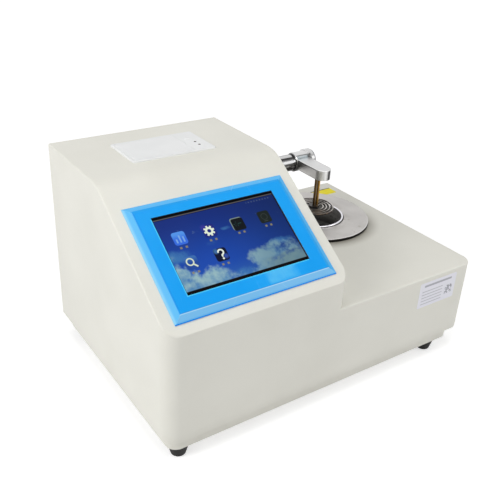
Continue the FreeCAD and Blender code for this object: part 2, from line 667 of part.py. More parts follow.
def screen():
    left, low = WINDOW_LEFT, WINDOW_LOW
    right, high = WINDOW_RIGHT, WINDOW_HIGH
    body = new_body("screen_bezel")
    place_on_slope(body)
    pad(body, "Z", as_size(0), size("bezel_land"), rectangle(
        size("bezel_left"), size("bezel_low"), BEZEL_RIGHT, BEZEL_HIGH))
    bevel = size("bezel_bevel")
    foot = sketch_on(body, "Z", size("bezel_land"), [rectangle(
        size("bezel_left"), size("bezel_low"), BEZEL_RIGHT, BEZEL_HIGH)])
    crown = sketch_on(body, "Z", size("bezel_height"), [rectangle(
        size("bezel_left") + bevel, size("bezel_low") + bevel, BEZEL_RIGHT - bevel, BEZEL_HIGH - bevel)])
    rise = body.newObject("PartDesign::AdditiveLoft", "screen_bezel_bevel")
    rise.Profile = foot
    rise.Sections = [crown]
    rise.Ruled = True
    fillet(body, size("bezel_round"), lambda edge: span(edge, "z")[1] > size("bezel_height").value - NEAR)
    margin = size("glass_margin")
    rim = margin + size("bezel_rim_wall")
    glass_top = size("bezel_height") - size("glass_depth")
    rim_low = -size("bezel_rim_depth")
    pad(body, "Z", rim_low, as_size(0), rectangle(left - rim, low - rim, right + rim, high + rim))
    pocket(body, "Z", rim_low - OVERRUN, glass_top, rectangle(
        left - margin, low - margin, right + margin, high + margin))
    pocket(body, "Z", as_size(0), size("bezel_height") + OVERRUN, rectangle(left, low, right, high))
    chamfer(body, size("window_chamfer"), lambda edge: lies_at(edge, "z", size("bezel_height")) and (
        span(edge, "x")[0] > left.value - NEAR and span(edge, "x")[1] < right.value + NEAR
        and span(edge, "y")[0] > low.value - NEAR and span(edge, "y")[1] < high.value + NEAR))

    inner = margin - GAP
    body = new_body("touch_glass")
    place_on_slope(body)
    glass_low = glass_top - size("glass_thickness")
    pad(body, "Z", glass_low, glass_top, rectangle(left - inner, low - inner, right + inner, high + inner))

    body = new_body("screen_module")
    place_on_slope(body)
    pad(body, "Z", glass_low - size("screen_depth"), glass_low, rectangle(
        left - inner, low - inner, right + inner, high + inner))

    body = new_body("screen_bracket")
    place_on_slope(body)
    back = glass_low - size("screen_depth")
    outer = rim + size("bracket_margin")
    pad(body, "Z", back - size("bracket_plate"), back, rectangle(
        left - outer, low - outer, right + outer, high + outer))
    inset = outer - size("bracket_post_inset")
    pad(body, "Z", back, -WALL, *[
        circle(x, y, size("bracket_post_radius"))
        for x in (left - inset, right + inset) for y in (low - inset, high + inset)])


# Printer in the console's top

PRINTER_RIGHT = size("printer_left") + size("printer_width")
PRINTER_REAR = PRINTER_FRONT + size("printer_length")
PRINTER_TOP = CONSOLE_TOP + size("printer_lip")
PLATE_LOW = PRINTER_TOP - size("printer_plate")
TUB_LEFT = size("printer_left") + size("printer_tub_inset") + size("printer_wall")
TUB_FRONT = PRINTER_FRONT + size("printer_tub_inset") + size("printer_wall")
TUB_REAR = PRINTER_REAR - size("printer_tub_inset") - size("printer_wall")
TUB_LOW = PRINTER_TOP - size("printer_tub_depth")
DOOR_LEFT = size("printer_left") + size("printer_border")
DOOR_RIGHT = DOOR_LEFT + size("door_width")
DOOR_FRONT = PRINTER_FRONT + size("printer_border")
DOOR_REAR = PRINTER_REAR - size("printer_border")
DOOR_LOW = PRINTER_TOP - size("door_thickness")
TUB_RIGHT = DOOR_RIGHT - (TUB_LEFT - DOOR_LEFT)
HINGE_X = DOOR_LEFT + size("door_gap") + size("door_thickness")
HINGE_Z = DOOR_LOW
PLATEN_X = DOOR_RIGHT - size("platen_inset")
PLATEN_Z = PRINTER_TOP - size("platen_drop")
ROLL_Z = TUB_LOW + size("printer_wall") + size("roll_clearance") + size("roll_radius")
LUG_FRONT = TUB_FRONT + size("door_gap")
LUG_REAR = TUB_REAR - size("door_gap")
ROLL_X = size("printer_left") + size("roll_inset")
BUTTON_X = PRINTER_RIGHT - size("button_inset")
BUTTON_Y = PRINTER_FRONT + size("button_reach")
LAMP_X = PRINTER_RIGHT - size("lamp_inset")
LAMP_Y = PRINTER_FRONT + size("lamp_reach")


def button_outline(grow):
    half = size("button_length") / 2 - size("button_radius")
    return slot(BUTTON_X - half, BUTTON_X + half, BUTTON_Y, size("button_radius") + grow)


def lamp_outlines(grow):
    first = circle(LAMP_X, LAMP_Y, size("lamp_radius") + grow)
    second = circle(LAMP_X, LAMP_Y + size("lamp_pitch"), size("lamp_radius") + grow)
    return first, second


def printer_frame():
    inset = size("printer_tub_inset")
    wall = size("printer_wall")
    left, front = size("printer_left"), PRINTER_FRONT
    gap = size("door_gap")
    play = size("running_gap")
    body = new_body("printer_frame")
    pad(body, "Z", CONSOLE_TOP, PRINTER_TOP, rounded(
        left, front, PRINTER_RIGHT, PRINTER_REAR, size("printer_corner")))
    fillet(body, size("printer_round"), lambda edge: lies_at(edge, "z", PRINTER_TOP))
    pad(body, "Z", TUB_LOW, CONSOLE_TOP, rectangle(
        left + inset, front + inset, PRINTER_RIGHT - inset, PRINTER_REAR - inset))
    pocket(body, "Z", TUB_LOW + wall, PRINTER_TOP + OVERRUN, rectangle(
        TUB_LEFT, TUB_FRONT, TUB_RIGHT, TUB_REAR))
    pocket(body, "Z", TUB_LOW - OVERRUN, PLATE_LOW, rectangle(
        TUB_RIGHT + wall, TUB_FRONT, PRINTER_RIGHT - inset - wall, TUB_REAR))
    pocket(body, "Z", DOOR_LOW, PRINTER_TOP + OVERRUN, rectangle(
        DOOR_LEFT, DOOR_FRONT, DOOR_RIGHT, DOOR_REAR))
    knuckle = size("door_thickness") + gap
    pocket(body, "Z", HINGE_Z - knuckle, PRINTER_TOP, rectangle(
        DOOR_LEFT, DOOR_FRONT, HINGE_X + knuckle, DOOR_REAR))
    seat = size("door_pin_seat")
    pocket(body, "Y", DOOR_FRONT - seat, DOOR_REAR + seat, circle(
        HINGE_X, HINGE_Z, size("door_pin_radius") + play))
    seat = size("spindle_seat")
    pocket(body, "Y", TUB_FRONT - seat, TUB_REAR + seat, circle(
        ROLL_X, ROLL_Z, size("spindle_radius") + play))
    pocket(body, "Z", PLATE_LOW - OVERRUN, PRINTER_TOP + OVERRUN, button_outline(0), *lamp_outlines(play))


def paper_door():
    gap = size("door_gap")
    play = size("running_gap")
    body = new_body("paper_door")
    pad(body, "Z", DOOR_LOW, PRINTER_TOP, rectangle(
        HINGE_X, DOOR_FRONT + gap, DOOR_RIGHT - gap, DOOR_REAR - gap))
    pad(body, "Y", DOOR_FRONT + gap, DOOR_REAR - gap, circle(HINGE_X, HINGE_Z, size("door_thickness")))
    lug = rectangle(PLATEN_X - size("lug_half_width"), PLATEN_Z - size("lug_half_width"),
                    PLATEN_X + size("lug_half_width"), PRINTER_TOP - size("door_thickness") / 2)
    pad(body, "Y", LUG_FRONT, LUG_FRONT + size("lug_sheet"), lug)
    pad(body, "Y", LUG_REAR - size("lug_sheet"), LUG_REAR, lug)
    pocket(body, "Y", DOOR_FRONT, DOOR_REAR, circle(PLATEN_X, PLATEN_Z, size("platen_pin_radius") + play))
    seat = size("door_pin_seat") - play
    pad(body, "Y", DOOR_FRONT - seat, DOOR_REAR + seat, circle(HINGE_X, HINGE_Z, size("door_pin_radius")))


def paper_path():
    play = size("running_gap")
    pin_radius = size("platen_pin_radius")
    start = LUG_FRONT + size("lug_sheet") + size("door_gap")
    end = LUG_REAR - size("lug_sheet") - size("door_gap")
    body = new_body("platen_roller", PLATEN_X, 0, PLATEN_Z)
    turn(body, "Y", (0, LUG_FRONT), (pin_radius, LUG_FRONT), (pin_radius, start),
         (size("platen_radius"), start), (size("platen_radius"), end), (pin_radius, end),
         (pin_radius, LUG_REAR), (0, LUG_REAR))

    near = PLATEN_X + size("platen_radius") + size("print_head_gap")
    back = near + size("print_head_thickness")
    low = PLATEN_Z - size("print_head_drop")
    shelf = low + size("print_head_thickness")
    body = new_body("print_head")
    pad(body, "Y", start, end, polygon((near, low), (TUB_RIGHT, low), (TUB_RIGHT, shelf), (back, shelf),
                                       (back, PLATEN_Z + size("platen_radius") / 2),
                                       (near, PLATEN_Z + size("platen_radius") / 2)))
    chamfer(body, size("print_head_thickness") / 3, lambda edge: runs_along(edge, "y") and (
        lies_at(edge, "x", near) and lies_at(edge, "z", PLATEN_Z + size("platen_radius") / 2)))

    body = new_body("paper_roll", ROLL_X, 0, ROLL_Z)
    core = size("spindle_radius") + play
    front = TUB_FRONT + size("roll_margin")
    rear = TUB_REAR - size("roll_margin")
    turn(body, "Y", (core, front), (size("roll_radius"), front), (size("roll_radius"), rear), (core, rear))
    body = new_body("roll_spindle", ROLL_X, 0, ROLL_Z)
    seat = size("spindle_seat") - play
    turn(body, "Y", (0, TUB_FRONT - seat), (size("spindle_radius"), TUB_FRONT - seat),
         (size("spindle_radius"), TUB_REAR + seat), (0, TUB_REAR + seat))
    chamfer(body, size("spindle_radius") / 5, lambda edge: lies_at(edge, "y", TUB_FRONT - seat) or (
        lies_at(edge, "y", TUB_REAR + seat)))


def printer_controls():
    """The feed button over its switch, and two lamps on the printer's small circuit board."""
    play = size("running_gap")
    flange_low = PLATE_LOW - size("button_flange")
    body = new_body("feed_button")
    pad(body, "Z", PLATE_LOW, PRINTER_TOP + size("button_proud"), button_outline(-play))
    fillet(body, size("button_round"), lambda edge: lies_at(edge, "z", PRINTER_TOP + size("button_proud")))
    pad(body, "Z", flange_low, PLATE_LOW, button_outline(size("button_flange")))
    stem = size("button_radius") / 2
    pad(body, "Z", flange_low - size("button_stem"), flange_low, circle(BUTTON_X, BUTTON_Y, stem))

    switch_top = flange_low - size("button_stem") - size("button_travel") - play
    board_top = switch_top - size("button_flange") * 2
    board_low = board_top - size("board_sheet")
    margin = GAP
    near = TUB_RIGHT + size("printer_wall") + margin
    far = PRINTER_RIGHT - size("printer_tub_inset") - size("printer_wall") - margin
    plate = block(near, TUB_FRONT + margin, board_low, far, TUB_REAR - margin, board_top)
    half = size("button_radius")
    key = block(BUTTON_X - half, BUTTON_Y - half, board_top,
                BUTTON_X + half, BUTTON_Y + half, switch_top)
    posts = [rod(x, y, board_top, size("lamp_radius"), PLATE_LOW - board_top)
             for x in (near + size("lamp_radius"), far - size("lamp_radius"))
             for y in (TUB_FRONT + size("lamp_radius") * 2, TUB_REAR - size("lamp_radius") * 2)]
    whole("printer_board", fuse(plate, key, *posts))

    body = new_body("status_lamps")
    top = PRINTER_TOP + size("lamp_proud")
    pad(body, "Z", board_top, top, *lamp_outlines(0))
    fillet(body, size("lamp_radius") / 2, lambda edge: lies_at(edge, "z", top))


# Furnace with its disc and test cup

CUP_TOP = PLATFORM_TOP + size("cup_rim_rise")
CUP_OUTER = size("cup_inner_radius") + size("cup_wall")
CUP_BASE = CUP_TOP - size("cup_depth") - size("cup_floor")
BLOCK_LOW = CUP_BASE - size("block_floor")
BAND_OUTER = size("block_radius") + size("band_thickness")
WOOL_OUTER = BAND_OUTER + GAP + size("wool_thickness")
CAN_TOP = PLATFORM_TOP - WALL
CAN_LOW = CAN_TOP - size("can_height")
CAN_INNER = WOOL_OUTER + GAP
DISC_LOW = PLATFORM_TOP + size("disc_gap")


def furnace():
    x, y = FURNACE_X, FURNACE_Y
    play = size("bore_play")
    hole = size("disc_hole_radius")
    rim = size("disc_radius")
    top = DISC_LOW + size("disc_thickness")
    body = new_body("furnace_disc", x, y)
    turn(body, "Z", (hole, DISC_LOW), (rim, DISC_LOW), (rim, top), (hole, top))
    fillet(body, size("disc_round"), lambda edge: lies_at(edge, "z", top))

    reach = size("spacer_reach")
    group("disc_spacers", [
        rod(x + reach * i, y + reach * j, PLATFORM_TOP, size("spacer_radius"), size("disc_gap"))
        for i in (-1, 1) for j in (-1, 1)])

    seat = CUP_OUTER + size("cup_play")
    block_top = PLATFORM_TOP - size("block_top_drop")
    sensor = size("sensor_radius") + play
    body = new_body("heater_block", x, y)
    sensor_top = BLOCK_LOW + size("sensor_seat")
    turn(body, "Z", (sensor, BLOCK_LOW), (size("block_radius"), BLOCK_LOW),
         (size("block_radius"), block_top), (seat, block_top), (seat, CUP_BASE), (0, CUP_BASE),
         (0, sensor_top), (sensor, sensor_top))
    chamfer(body, size("cup_rim_height") / 2, lambda edge: lies_at(edge, "z", block_top))

    low = BLOCK_LOW + size("band_rise")
    body = new_body("band_heater", x, y)
    high = low + size("band_height")
    turn(body, "Z", (size("block_radius"), low), (BAND_OUTER, low), (BAND_OUTER, high),
         (size("block_radius"), high))

    body = new_body("insulation", x, y)
    floor = CAN_LOW + size("can_wall")
    inner = BAND_OUTER + GAP
    wool_top = block_top - size("cup_rim_height")
    turn(body, "Z", (sensor, floor), (WOOL_OUTER, floor), (WOOL_OUTER, wool_top), (inner, wool_top),
         (inner, BLOCK_LOW), (sensor, BLOCK_LOW))

    body = new_body("furnace_can", x, y)
    outer = CAN_INNER + size("can_wall")
    flange = outer + size("can_flange")
    turn(body, "Z", (sensor, CAN_LOW), (outer, CAN_LOW), (outer, CAN_TOP - size("can_wall")),
         (flange, CAN_TOP - size("can_wall")), (flange, CAN_TOP), (CAN_INNER, CAN_TOP), (CAN_INNER, floor),
         (sensor, floor))

    body = new_body("block_sensor", x, y)
    pad(body, "Z", CAN_LOW - size("sensor_tail"), sensor_top, circle(0, 0, size("sensor_radius")))
    fillet(body, size("sensor_radius") / 2, lambda edge: lies_at(edge, "z", sensor_top))


def test_cup():
    """A turned cup with a rounded flange, a radiused floor and a filling mark inside."""
    body = new_body("test_cup", FURNACE_X, FURNACE_Y)
    inner, rim = size("cup_inner_radius"), size("cup_rim_radius")
    floor = CUP_BASE + size("cup_floor")
    flange = CUP_TOP - size("cup_rim_height")
    turn(body, "Z", (0, CUP_BASE), (CUP_OUTER, CUP_BASE), (CUP_OUTER, flange), (rim, flange),
         (rim, CUP_TOP), (inner, CUP_TOP), (inner, floor), (0, floor))
    fillet(body, size("cup_rim_round"), lambda edge: edge.Curve.TypeId == "Part::GeomCircle" and (
        lies_at(edge, "z", CUP_TOP) or (
            lies_at(edge, "z", flange) and edge.Curve.Radius > CUP_OUTER.value + NEAR)))
    fillet(body, size("cup_corner"), lambda edge: lies_at(edge, "z", floor))
    fillet(body, size("cup_floor") / 2, lambda edge: lies_at(edge, "z", CUP_BASE))
    mark = CUP_TOP - size("fill_mark_drop")
    groove = size("fill_mark_depth")
    turn(body, "Z", (inner - groove, mark), (inner + groove, mark), (inner + groove, mark + groove * 2),
         (inner - groove, mark + groove * 2), kind="Groove")


# Test arm on its sleeve, and its drive inside the console

WALL_INSIDE = CONSOLE - WALL
SLEEVE_START = WALL_INSIDE - size("bush_inner_length")
SLEEVE_END = FURNACE_X - size("sleeve_short")
HEAD_START = SLEEVE_END + size("washer_thickness") + size("washer_gap") * 2
BAR_LEFT = HEAD_START + size("bar_offset")
BAR_RIGHT = BAR_LEFT + size("bar_width")
HEAD_END = BAR_RIGHT - size("cap_lap")
BAR_TOP = ARM_Z + size("bar_top_rise")
BAR_LOW = BAR_TOP - size("bar_thickness")
PILOT_X = FURNACE_X
GAS_X = PILOT_X + size("tube_spacing")
RING_Z = PLATFORM_TOP + size("ring_rise")
NUT_START = WALL_INSIDE - size("bracket_sheet") - size("nut_thickness")
COUPLING_END = SLEEVE_START - size("coupling_gap")
COUPLING_START = COUPLING_END - size("coupling_length")
GEARBOX_END = COUPLING_START - size("coupling_gap")


def arm_support():
    play = size("bore_play")
    body = new_body("arm_bush", 0, ARM_Y, ARM_Z)
    bore = size("sleeve_radius") + size("running_gap")
    flange_end = CONSOLE + size("bush_flange")
    turn(body, "X", (SLEEVE_START, bore), (SLEEVE_START, size("bush_radius")),
         (CONSOLE, size("bush_radius")), (CONSOLE, size("bush_flange_radius")),
         (flange_end, size("bush_flange_radius")), (flange_end, bore))
    chamfer(body, size("bush_flange") / 4, lambda edge: (
        lies_at(edge, "x", flange_end) and edge.Curve.Radius > bore.value + NEAR))

    body = new_body("bush_nut", 0, ARM_Y, ARM_Z)
    across = size("nut_corner")
    side = across / 2
    high = across * size("hexagon_share")
    pad(body, "X", NUT_START, NUT_START + size("nut_thickness"), polygon(
        (across, 0), (side, high), (-side, high), (-across, 0), (-side, -high), (side, -high)))
    pocket(body, "X", NUT_START - OVERRUN, WALL_INSIDE, circle(0, 0, size("bush_radius") + play))

    bush = size("sleeve_bush_length")
    seat = size("sleeve_bush_radius")
    bore = size("arm_shaft_radius") + play * 3
    body = new_body("arm_sleeve", 0, ARM_Y, ARM_Z)
    turn(body, "X", (SLEEVE_START, seat), (SLEEVE_START, size("sleeve_radius")),
         (SLEEVE_END, size("sleeve_radius")), (SLEEVE_END, seat), (SLEEVE_END - bush, seat),
         (SLEEVE_END - bush, bore), (SLEEVE_START + bush, bore), (SLEEVE_START + bush, seat))
    chamfer(body, size("sleeve_chamfer"), lambda edge: (
        lies_at(edge, "x", SLEEVE_END) and edge.Curve.Radius > seat.value + NEAR))
    inner = size("arm_shaft_radius") + size("running_gap")
    outer = seat - size("running_gap")
    bearings = []
    for start in (SLEEVE_START, SLEEVE_END - bush):
        body = loose_body("bearing", 0, ARM_Y, ARM_Z)
        turn(body, "X", (start, inner), (start, outer), (start + bush, outer), (start + bush, inner))
        bearings.append(body)
    group("sleeve_bearings", bearings)


def arm():
    play = size("bore_play")
    shaft = size("arm_shaft_radius")
    grip = COUPLING_END - size("coupling_grip")
    body = new_body("arm_shaft", 0, ARM_Y, ARM_Z)
    pad(body, "X", grip, HEAD_END, circle(0, 0, shaft))
    chamfer(body, size("sleeve_chamfer"), lambda edge: (
        lies_at(edge, "x", grip) or lies_at(edge, "x", HEAD_END)))

    body = new_body("arm_washer", 0, ARM_Y, ARM_Z)
    start = SLEEVE_END + size("washer_gap")
    end = start + size("washer_thickness")
    turn(body, "X", (start, shaft + play), (start, size("washer_radius")), (end, size("washer_radius")),
         (end, shaft + play))

    radius = size("head_radius")
    body = new_body("arm_head", 0, ARM_Y, ARM_Z)
    turn(body, "X", (HEAD_START, shaft + play / 2), (HEAD_START, radius), (HEAD_END, radius),
         (HEAD_END, shaft + play / 2))
    chamfer(body, size("head_chamfer"), lambda edge: (
        lies_at(edge, "x", HEAD_START) and edge.Curve.Radius > radius.value - NEAR))
    notch = size("bar_notch_gap")
    pocket(body, "Z", -radius - OVERRUN, radius + OVERRUN, rectangle(
        BAR_LEFT - notch, -radius - OVERRUN, BAR_RIGHT + notch, -size("head_flat")))

    body = new_body("arm_cap", 0, ARM_Y, ARM_Z)
    cap_radius = size("cap_radius")
    cap_end = HEAD_END + size("cap_length")
    dish = cap_end - size("cap_dish_depth")
    turn(body, "X", (HEAD_END, 0), (HEAD_END, cap_radius), (cap_end, cap_radius),
         (cap_end, size("cap_dish_radius")), (dish, size("cap_dish_radius")), (dish, 0))
    fillet(body, size("cap_round"), lambda edge: (
        lies_at(edge, "x", cap_end) and edge.Curve.Radius > cap_radius.value - NEAR))
    pocket(body, "Z", -cap_radius - OVERRUN, cap_radius + OVERRUN, rectangle(
        HEAD_END - OVERRUN, -cap_radius - OVERRUN, BAR_RIGHT + notch, -size("head_flat")))

    body = new_body("arm_bar")
    middle = BAR_LEFT + size("bar_width") / 2
    tip = FURNACE_Y - size("bar_tip_forward")
    pad(body, "Z", BAR_LOW, BAR_TOP, rectangle(BAR_LEFT, tip, BAR_RIGHT, ARM_Y - size("head_flat")))
    pad(body, "Z", BAR_LOW, BAR_TOP, circle(middle, tip, size("bar_width") / 2))
    root = (ARM_Y - size("head_flat")).value
    fillet(body, size("bar_edge"), lambda edge: span(edge, "y")[0] < root - NEAR and (
        lies_at(edge, "z", BAR_TOP) or lies_at(edge, "z", BAR_LOW)))
    bore = size("tube_radius") + size("running_gap")
    pocket(body, "Z", BAR_LOW - OVERRUN, BAR_LOW + size("tube_seat"),
           circle(GAS_X, FURNACE_Y, bore), circle(PILOT_X, FURNACE_Y, bore))


def arm_tubes():
    """Two brass tubes, the longer of which passes through the hub of the ring detector."""
    y = FURNACE_Y
    hub_top = RING_Z + size("ring_hub_height") / 2
    pilot_low = RING_Z - size("pilot_drop")
    for label, x, low in (("gas_tube", GAS_X, hub_top), ("pilot_tube", PILOT_X, pilot_low)):
        body = new_body(label, x, y)
        top = BAR_LOW + size("tube_seat")
        pad(body, "Z", low, top, circle(0, 0, size("tube_radius")))
        pocket(body, "Z", low - OVERRUN, top - size("tube_radius"), circle(0, 0, size("tube_bore_radius")))

    x = FURNACE_X
    reach = size("ring_radius")
    things = [torus(x, y, RING_Z, reach - size("ring_pitch") * i, size("ring_wire_radius"))
              for i in range(DETECTOR_RINGS)]
    things += [rod(x - reach, y, RING_Z, size("spoke_radius"), reach * 2, "X"),
               rod(x, y - reach, RING_Z, size("spoke_radius"), reach * 2, "Y")]
    high = size("ring_hub_height")
    things.append(rod(x, y, RING_Z - high / 2, size("ring_hub_radius"), high))
    bore = rod(PILOT_X, y, RING_Z - high, size("tube_radius") + size("running_gap"), high * 2)
    whole("ring_detector", cut(fuse(*things), bore))


def arm_drive():
    play = size("running_gap")
    grip = size("coupling_grip")
    body = new_body("shaft_coupling", 0, ARM_Y, ARM_Z)
    middle = COUPLING_START + size("coupling_length") / 2
    arm_bore = size("arm_shaft_radius") + play
    motor_bore = size("motor_shaft_radius") + play
    radius = size("coupling_radius")
    turn(body, "X", (COUPLING_START, motor_bore), (COUPLING_START, radius), (COUPLING_END, radius),
         (COUPLING_END, arm_bore), (COUPLING_END - grip, arm_bore), (COUPLING_END - grip, motor_bore))
    slit = size("coupling_slit")
    turn(body, "X", (middle - slit, arm_bore + slit), (middle + slit, arm_bore + slit),
         (middle + slit, radius + OVERRUN), (middle - slit, radius + OVERRUN), kind="Groove")

    body = new_body("motor_shaft", 0, ARM_Y, ARM_Z)
    pad(body, "X", GEARBOX_END - size("gearbox_length") / 2, COUPLING_START + grip,
        circle(0, 0, size("motor_shaft_radius")))

    gearbox_start = GEARBOX_END - size("gearbox_length")
    motor_start = gearbox_start - size("motor_length")
    body = new_body("arm_motor", 0, ARM_Y, ARM_Z)
    bore = size("motor_shaft_radius") + size("running_gap")
    deep = GEARBOX_END - size("gearbox_length") / 2 - play
    turn(body, "X", (motor_start, 0), (motor_start, size("motor_radius")),
         (gearbox_start, size("motor_radius")), (gearbox_start, size("gearbox_radius")),
         (GEARBOX_END, size("gearbox_radius")), (GEARBOX_END, bore), (deep, bore), (deep, 0))
    chamfer(body, size("head_chamfer"), lambda edge: lies_at(edge, "x", motor_start))

    body = new_body("motor_bracket", 0, ARM_Y, ARM_Z)
    sheet_size = size("bracket_sheet")
    half = size("bracket_width") / 2
    drop = size("bracket_drop")
    near = GEARBOX_END + sheet_size
    far = WALL_INSIDE - sheet_size
    floor = sheet_size - drop
    pad(body, "Y", -half, half, polygon(
        (GEARBOX_END, drop), (GEARBOX_END, -drop), (WALL_INSIDE, -drop), (WALL_INSIDE, drop),
        (far, drop), (far, floor), (near, floor), (near, drop)))
    pocket(body, "X", far - OVERRUN, WALL_INSIDE + OVERRUN, circle(
        0, 0, size("bush_radius") + size("bore_play")))
    pocket(body, "X", GEARBOX_END - OVERRUN, near + OVERRUN, circle(0, 0, size("motor_shaft_radius") * 2))


# Fittings of the rear panel

def box_outline(x, z, half_width, half_height):
    return rectangle(x - half_width, z - half_height, x + half_width, z + half_height)


def mains_fittings():
    x = size("inlet_x")
    half_width, half_height = size("inlet_width") / 2, size("inlet_height") / 2
    face = PANEL_BACK + size("inlet_flange_depth")
    body = new_body("power_inlet")
    flange = size("inlet_flange")
    pad(body, "Y", PANEL_BACK, face, box_outline(x, FITTING_Z, half_width + flange, half_height + flange))
    fillet(body, flange, lambda edge: runs_along(edge, "y"))
    chamfer(body, flange / 4, lambda edge: lies_at(edge, "y", face))
    inside = PANEL_BACK - size("inlet_body_depth")
    pad(body, "Y", inside, PANEL_BACK, box_outline(x, FITTING_Z, half_width, half_height))
    wall = size("inlet_cavity_wall")
    inner_width, inner_height = half_width - wall, half_height - wall
    corner = wall * 2
    floor = face - size("inlet_cavity_depth")
    low, high = FITTING_Z - inner_height, FITTING_Z + inner_height
    pocket(body, "Y", floor, face + OVERRUN, polygon(
        (x - inner_width, low), (x + inner_width, low), (x + inner_width, high - corner),
        (x + inner_width - corner, high), (x - inner_width + corner, high),
        (x - inner_width, high - corner)))

    half_pin = size("pin_width") / 2
    half_tall = size("pin_height") / 2
    spots = [(-size("pin_spread"), -size("pin_offset") / 2), (0, size("pin_offset") / 2),
             (size("pin_spread"), -size("pin_offset") / 2)]
    body = new_body("inlet_pins")
    pad(body, "Y", floor, floor + size("pin_length"), *[
        box_outline(x + across, FITTING_Z + up, half_pin, half_tall) for across, up in spots])
    chamfer(body, half_pin / 2, lambda edge: lies_at(edge, "y", floor + size("pin_length")))

    x = size("switch_x")
    half_width, half_height = size("switch_width") / 2, size("switch_height") / 2
    flange = size("switch_flange")
    face = PANEL_BACK + size("switch_flange_depth")
    wall = size("switch_wall")
    deep = PANEL_BACK - size("switch_body_depth")
    body = new_body("switch_housing")
    pad(body, "Y", PANEL_BACK, face, box_outline(x, FITTING_Z, half_width + flange, half_height + flange))
    chamfer(body, flange / 3, lambda edge: lies_at(edge, "y", face))
    pad(body, "Y", deep, PANEL_BACK, box_outline(x, FITTING_Z, half_width, half_height))
    pocket(body, "Y", deep + wall, face + OVERRUN, box_outline(
        x, FITTING_Z, half_width - wall, half_height - wall))
    pin_seat = wall / 2
    pivot = face - size("rocker_pivot_depth")
    pocket(body, "X", x - half_width + pin_seat, x + half_width - pin_seat, circle(
        pivot, FITTING_Z, size("rocker_pin_radius") + size("running_gap")))

    half = half_width - wall - size("rocker_side_play")
    reach = half_height - wall - size("rocker_play")
    body = new_body("power_rocker", x, pivot, FITTING_Z)
    tilt = FreeCAD.Rotation(FreeCAD.Vector(1, 0, 0), ROCKER_TILT)
    body.Placement = FreeCAD.Placement(body.Placement.Base, tilt)
    crown = size("rocker_crown")
    under = -size("rocker_under")
    pad(body, "X", -half, half, polygon((under, -reach / 2), (crown, -reach), (size("rocker_dip"), 0),
                                        (crown, reach), (under, reach / 2)))
    fillet(body, size("rocker_round"), lambda edge: runs_along(edge, "x") and lies_at(edge, "y", crown))
    reach_x = half_width - pin_seat - size("running_gap")
    pad(body, "X", -reach_x, reach_x, circle(0, 0, size("rocker_pin_radius")))


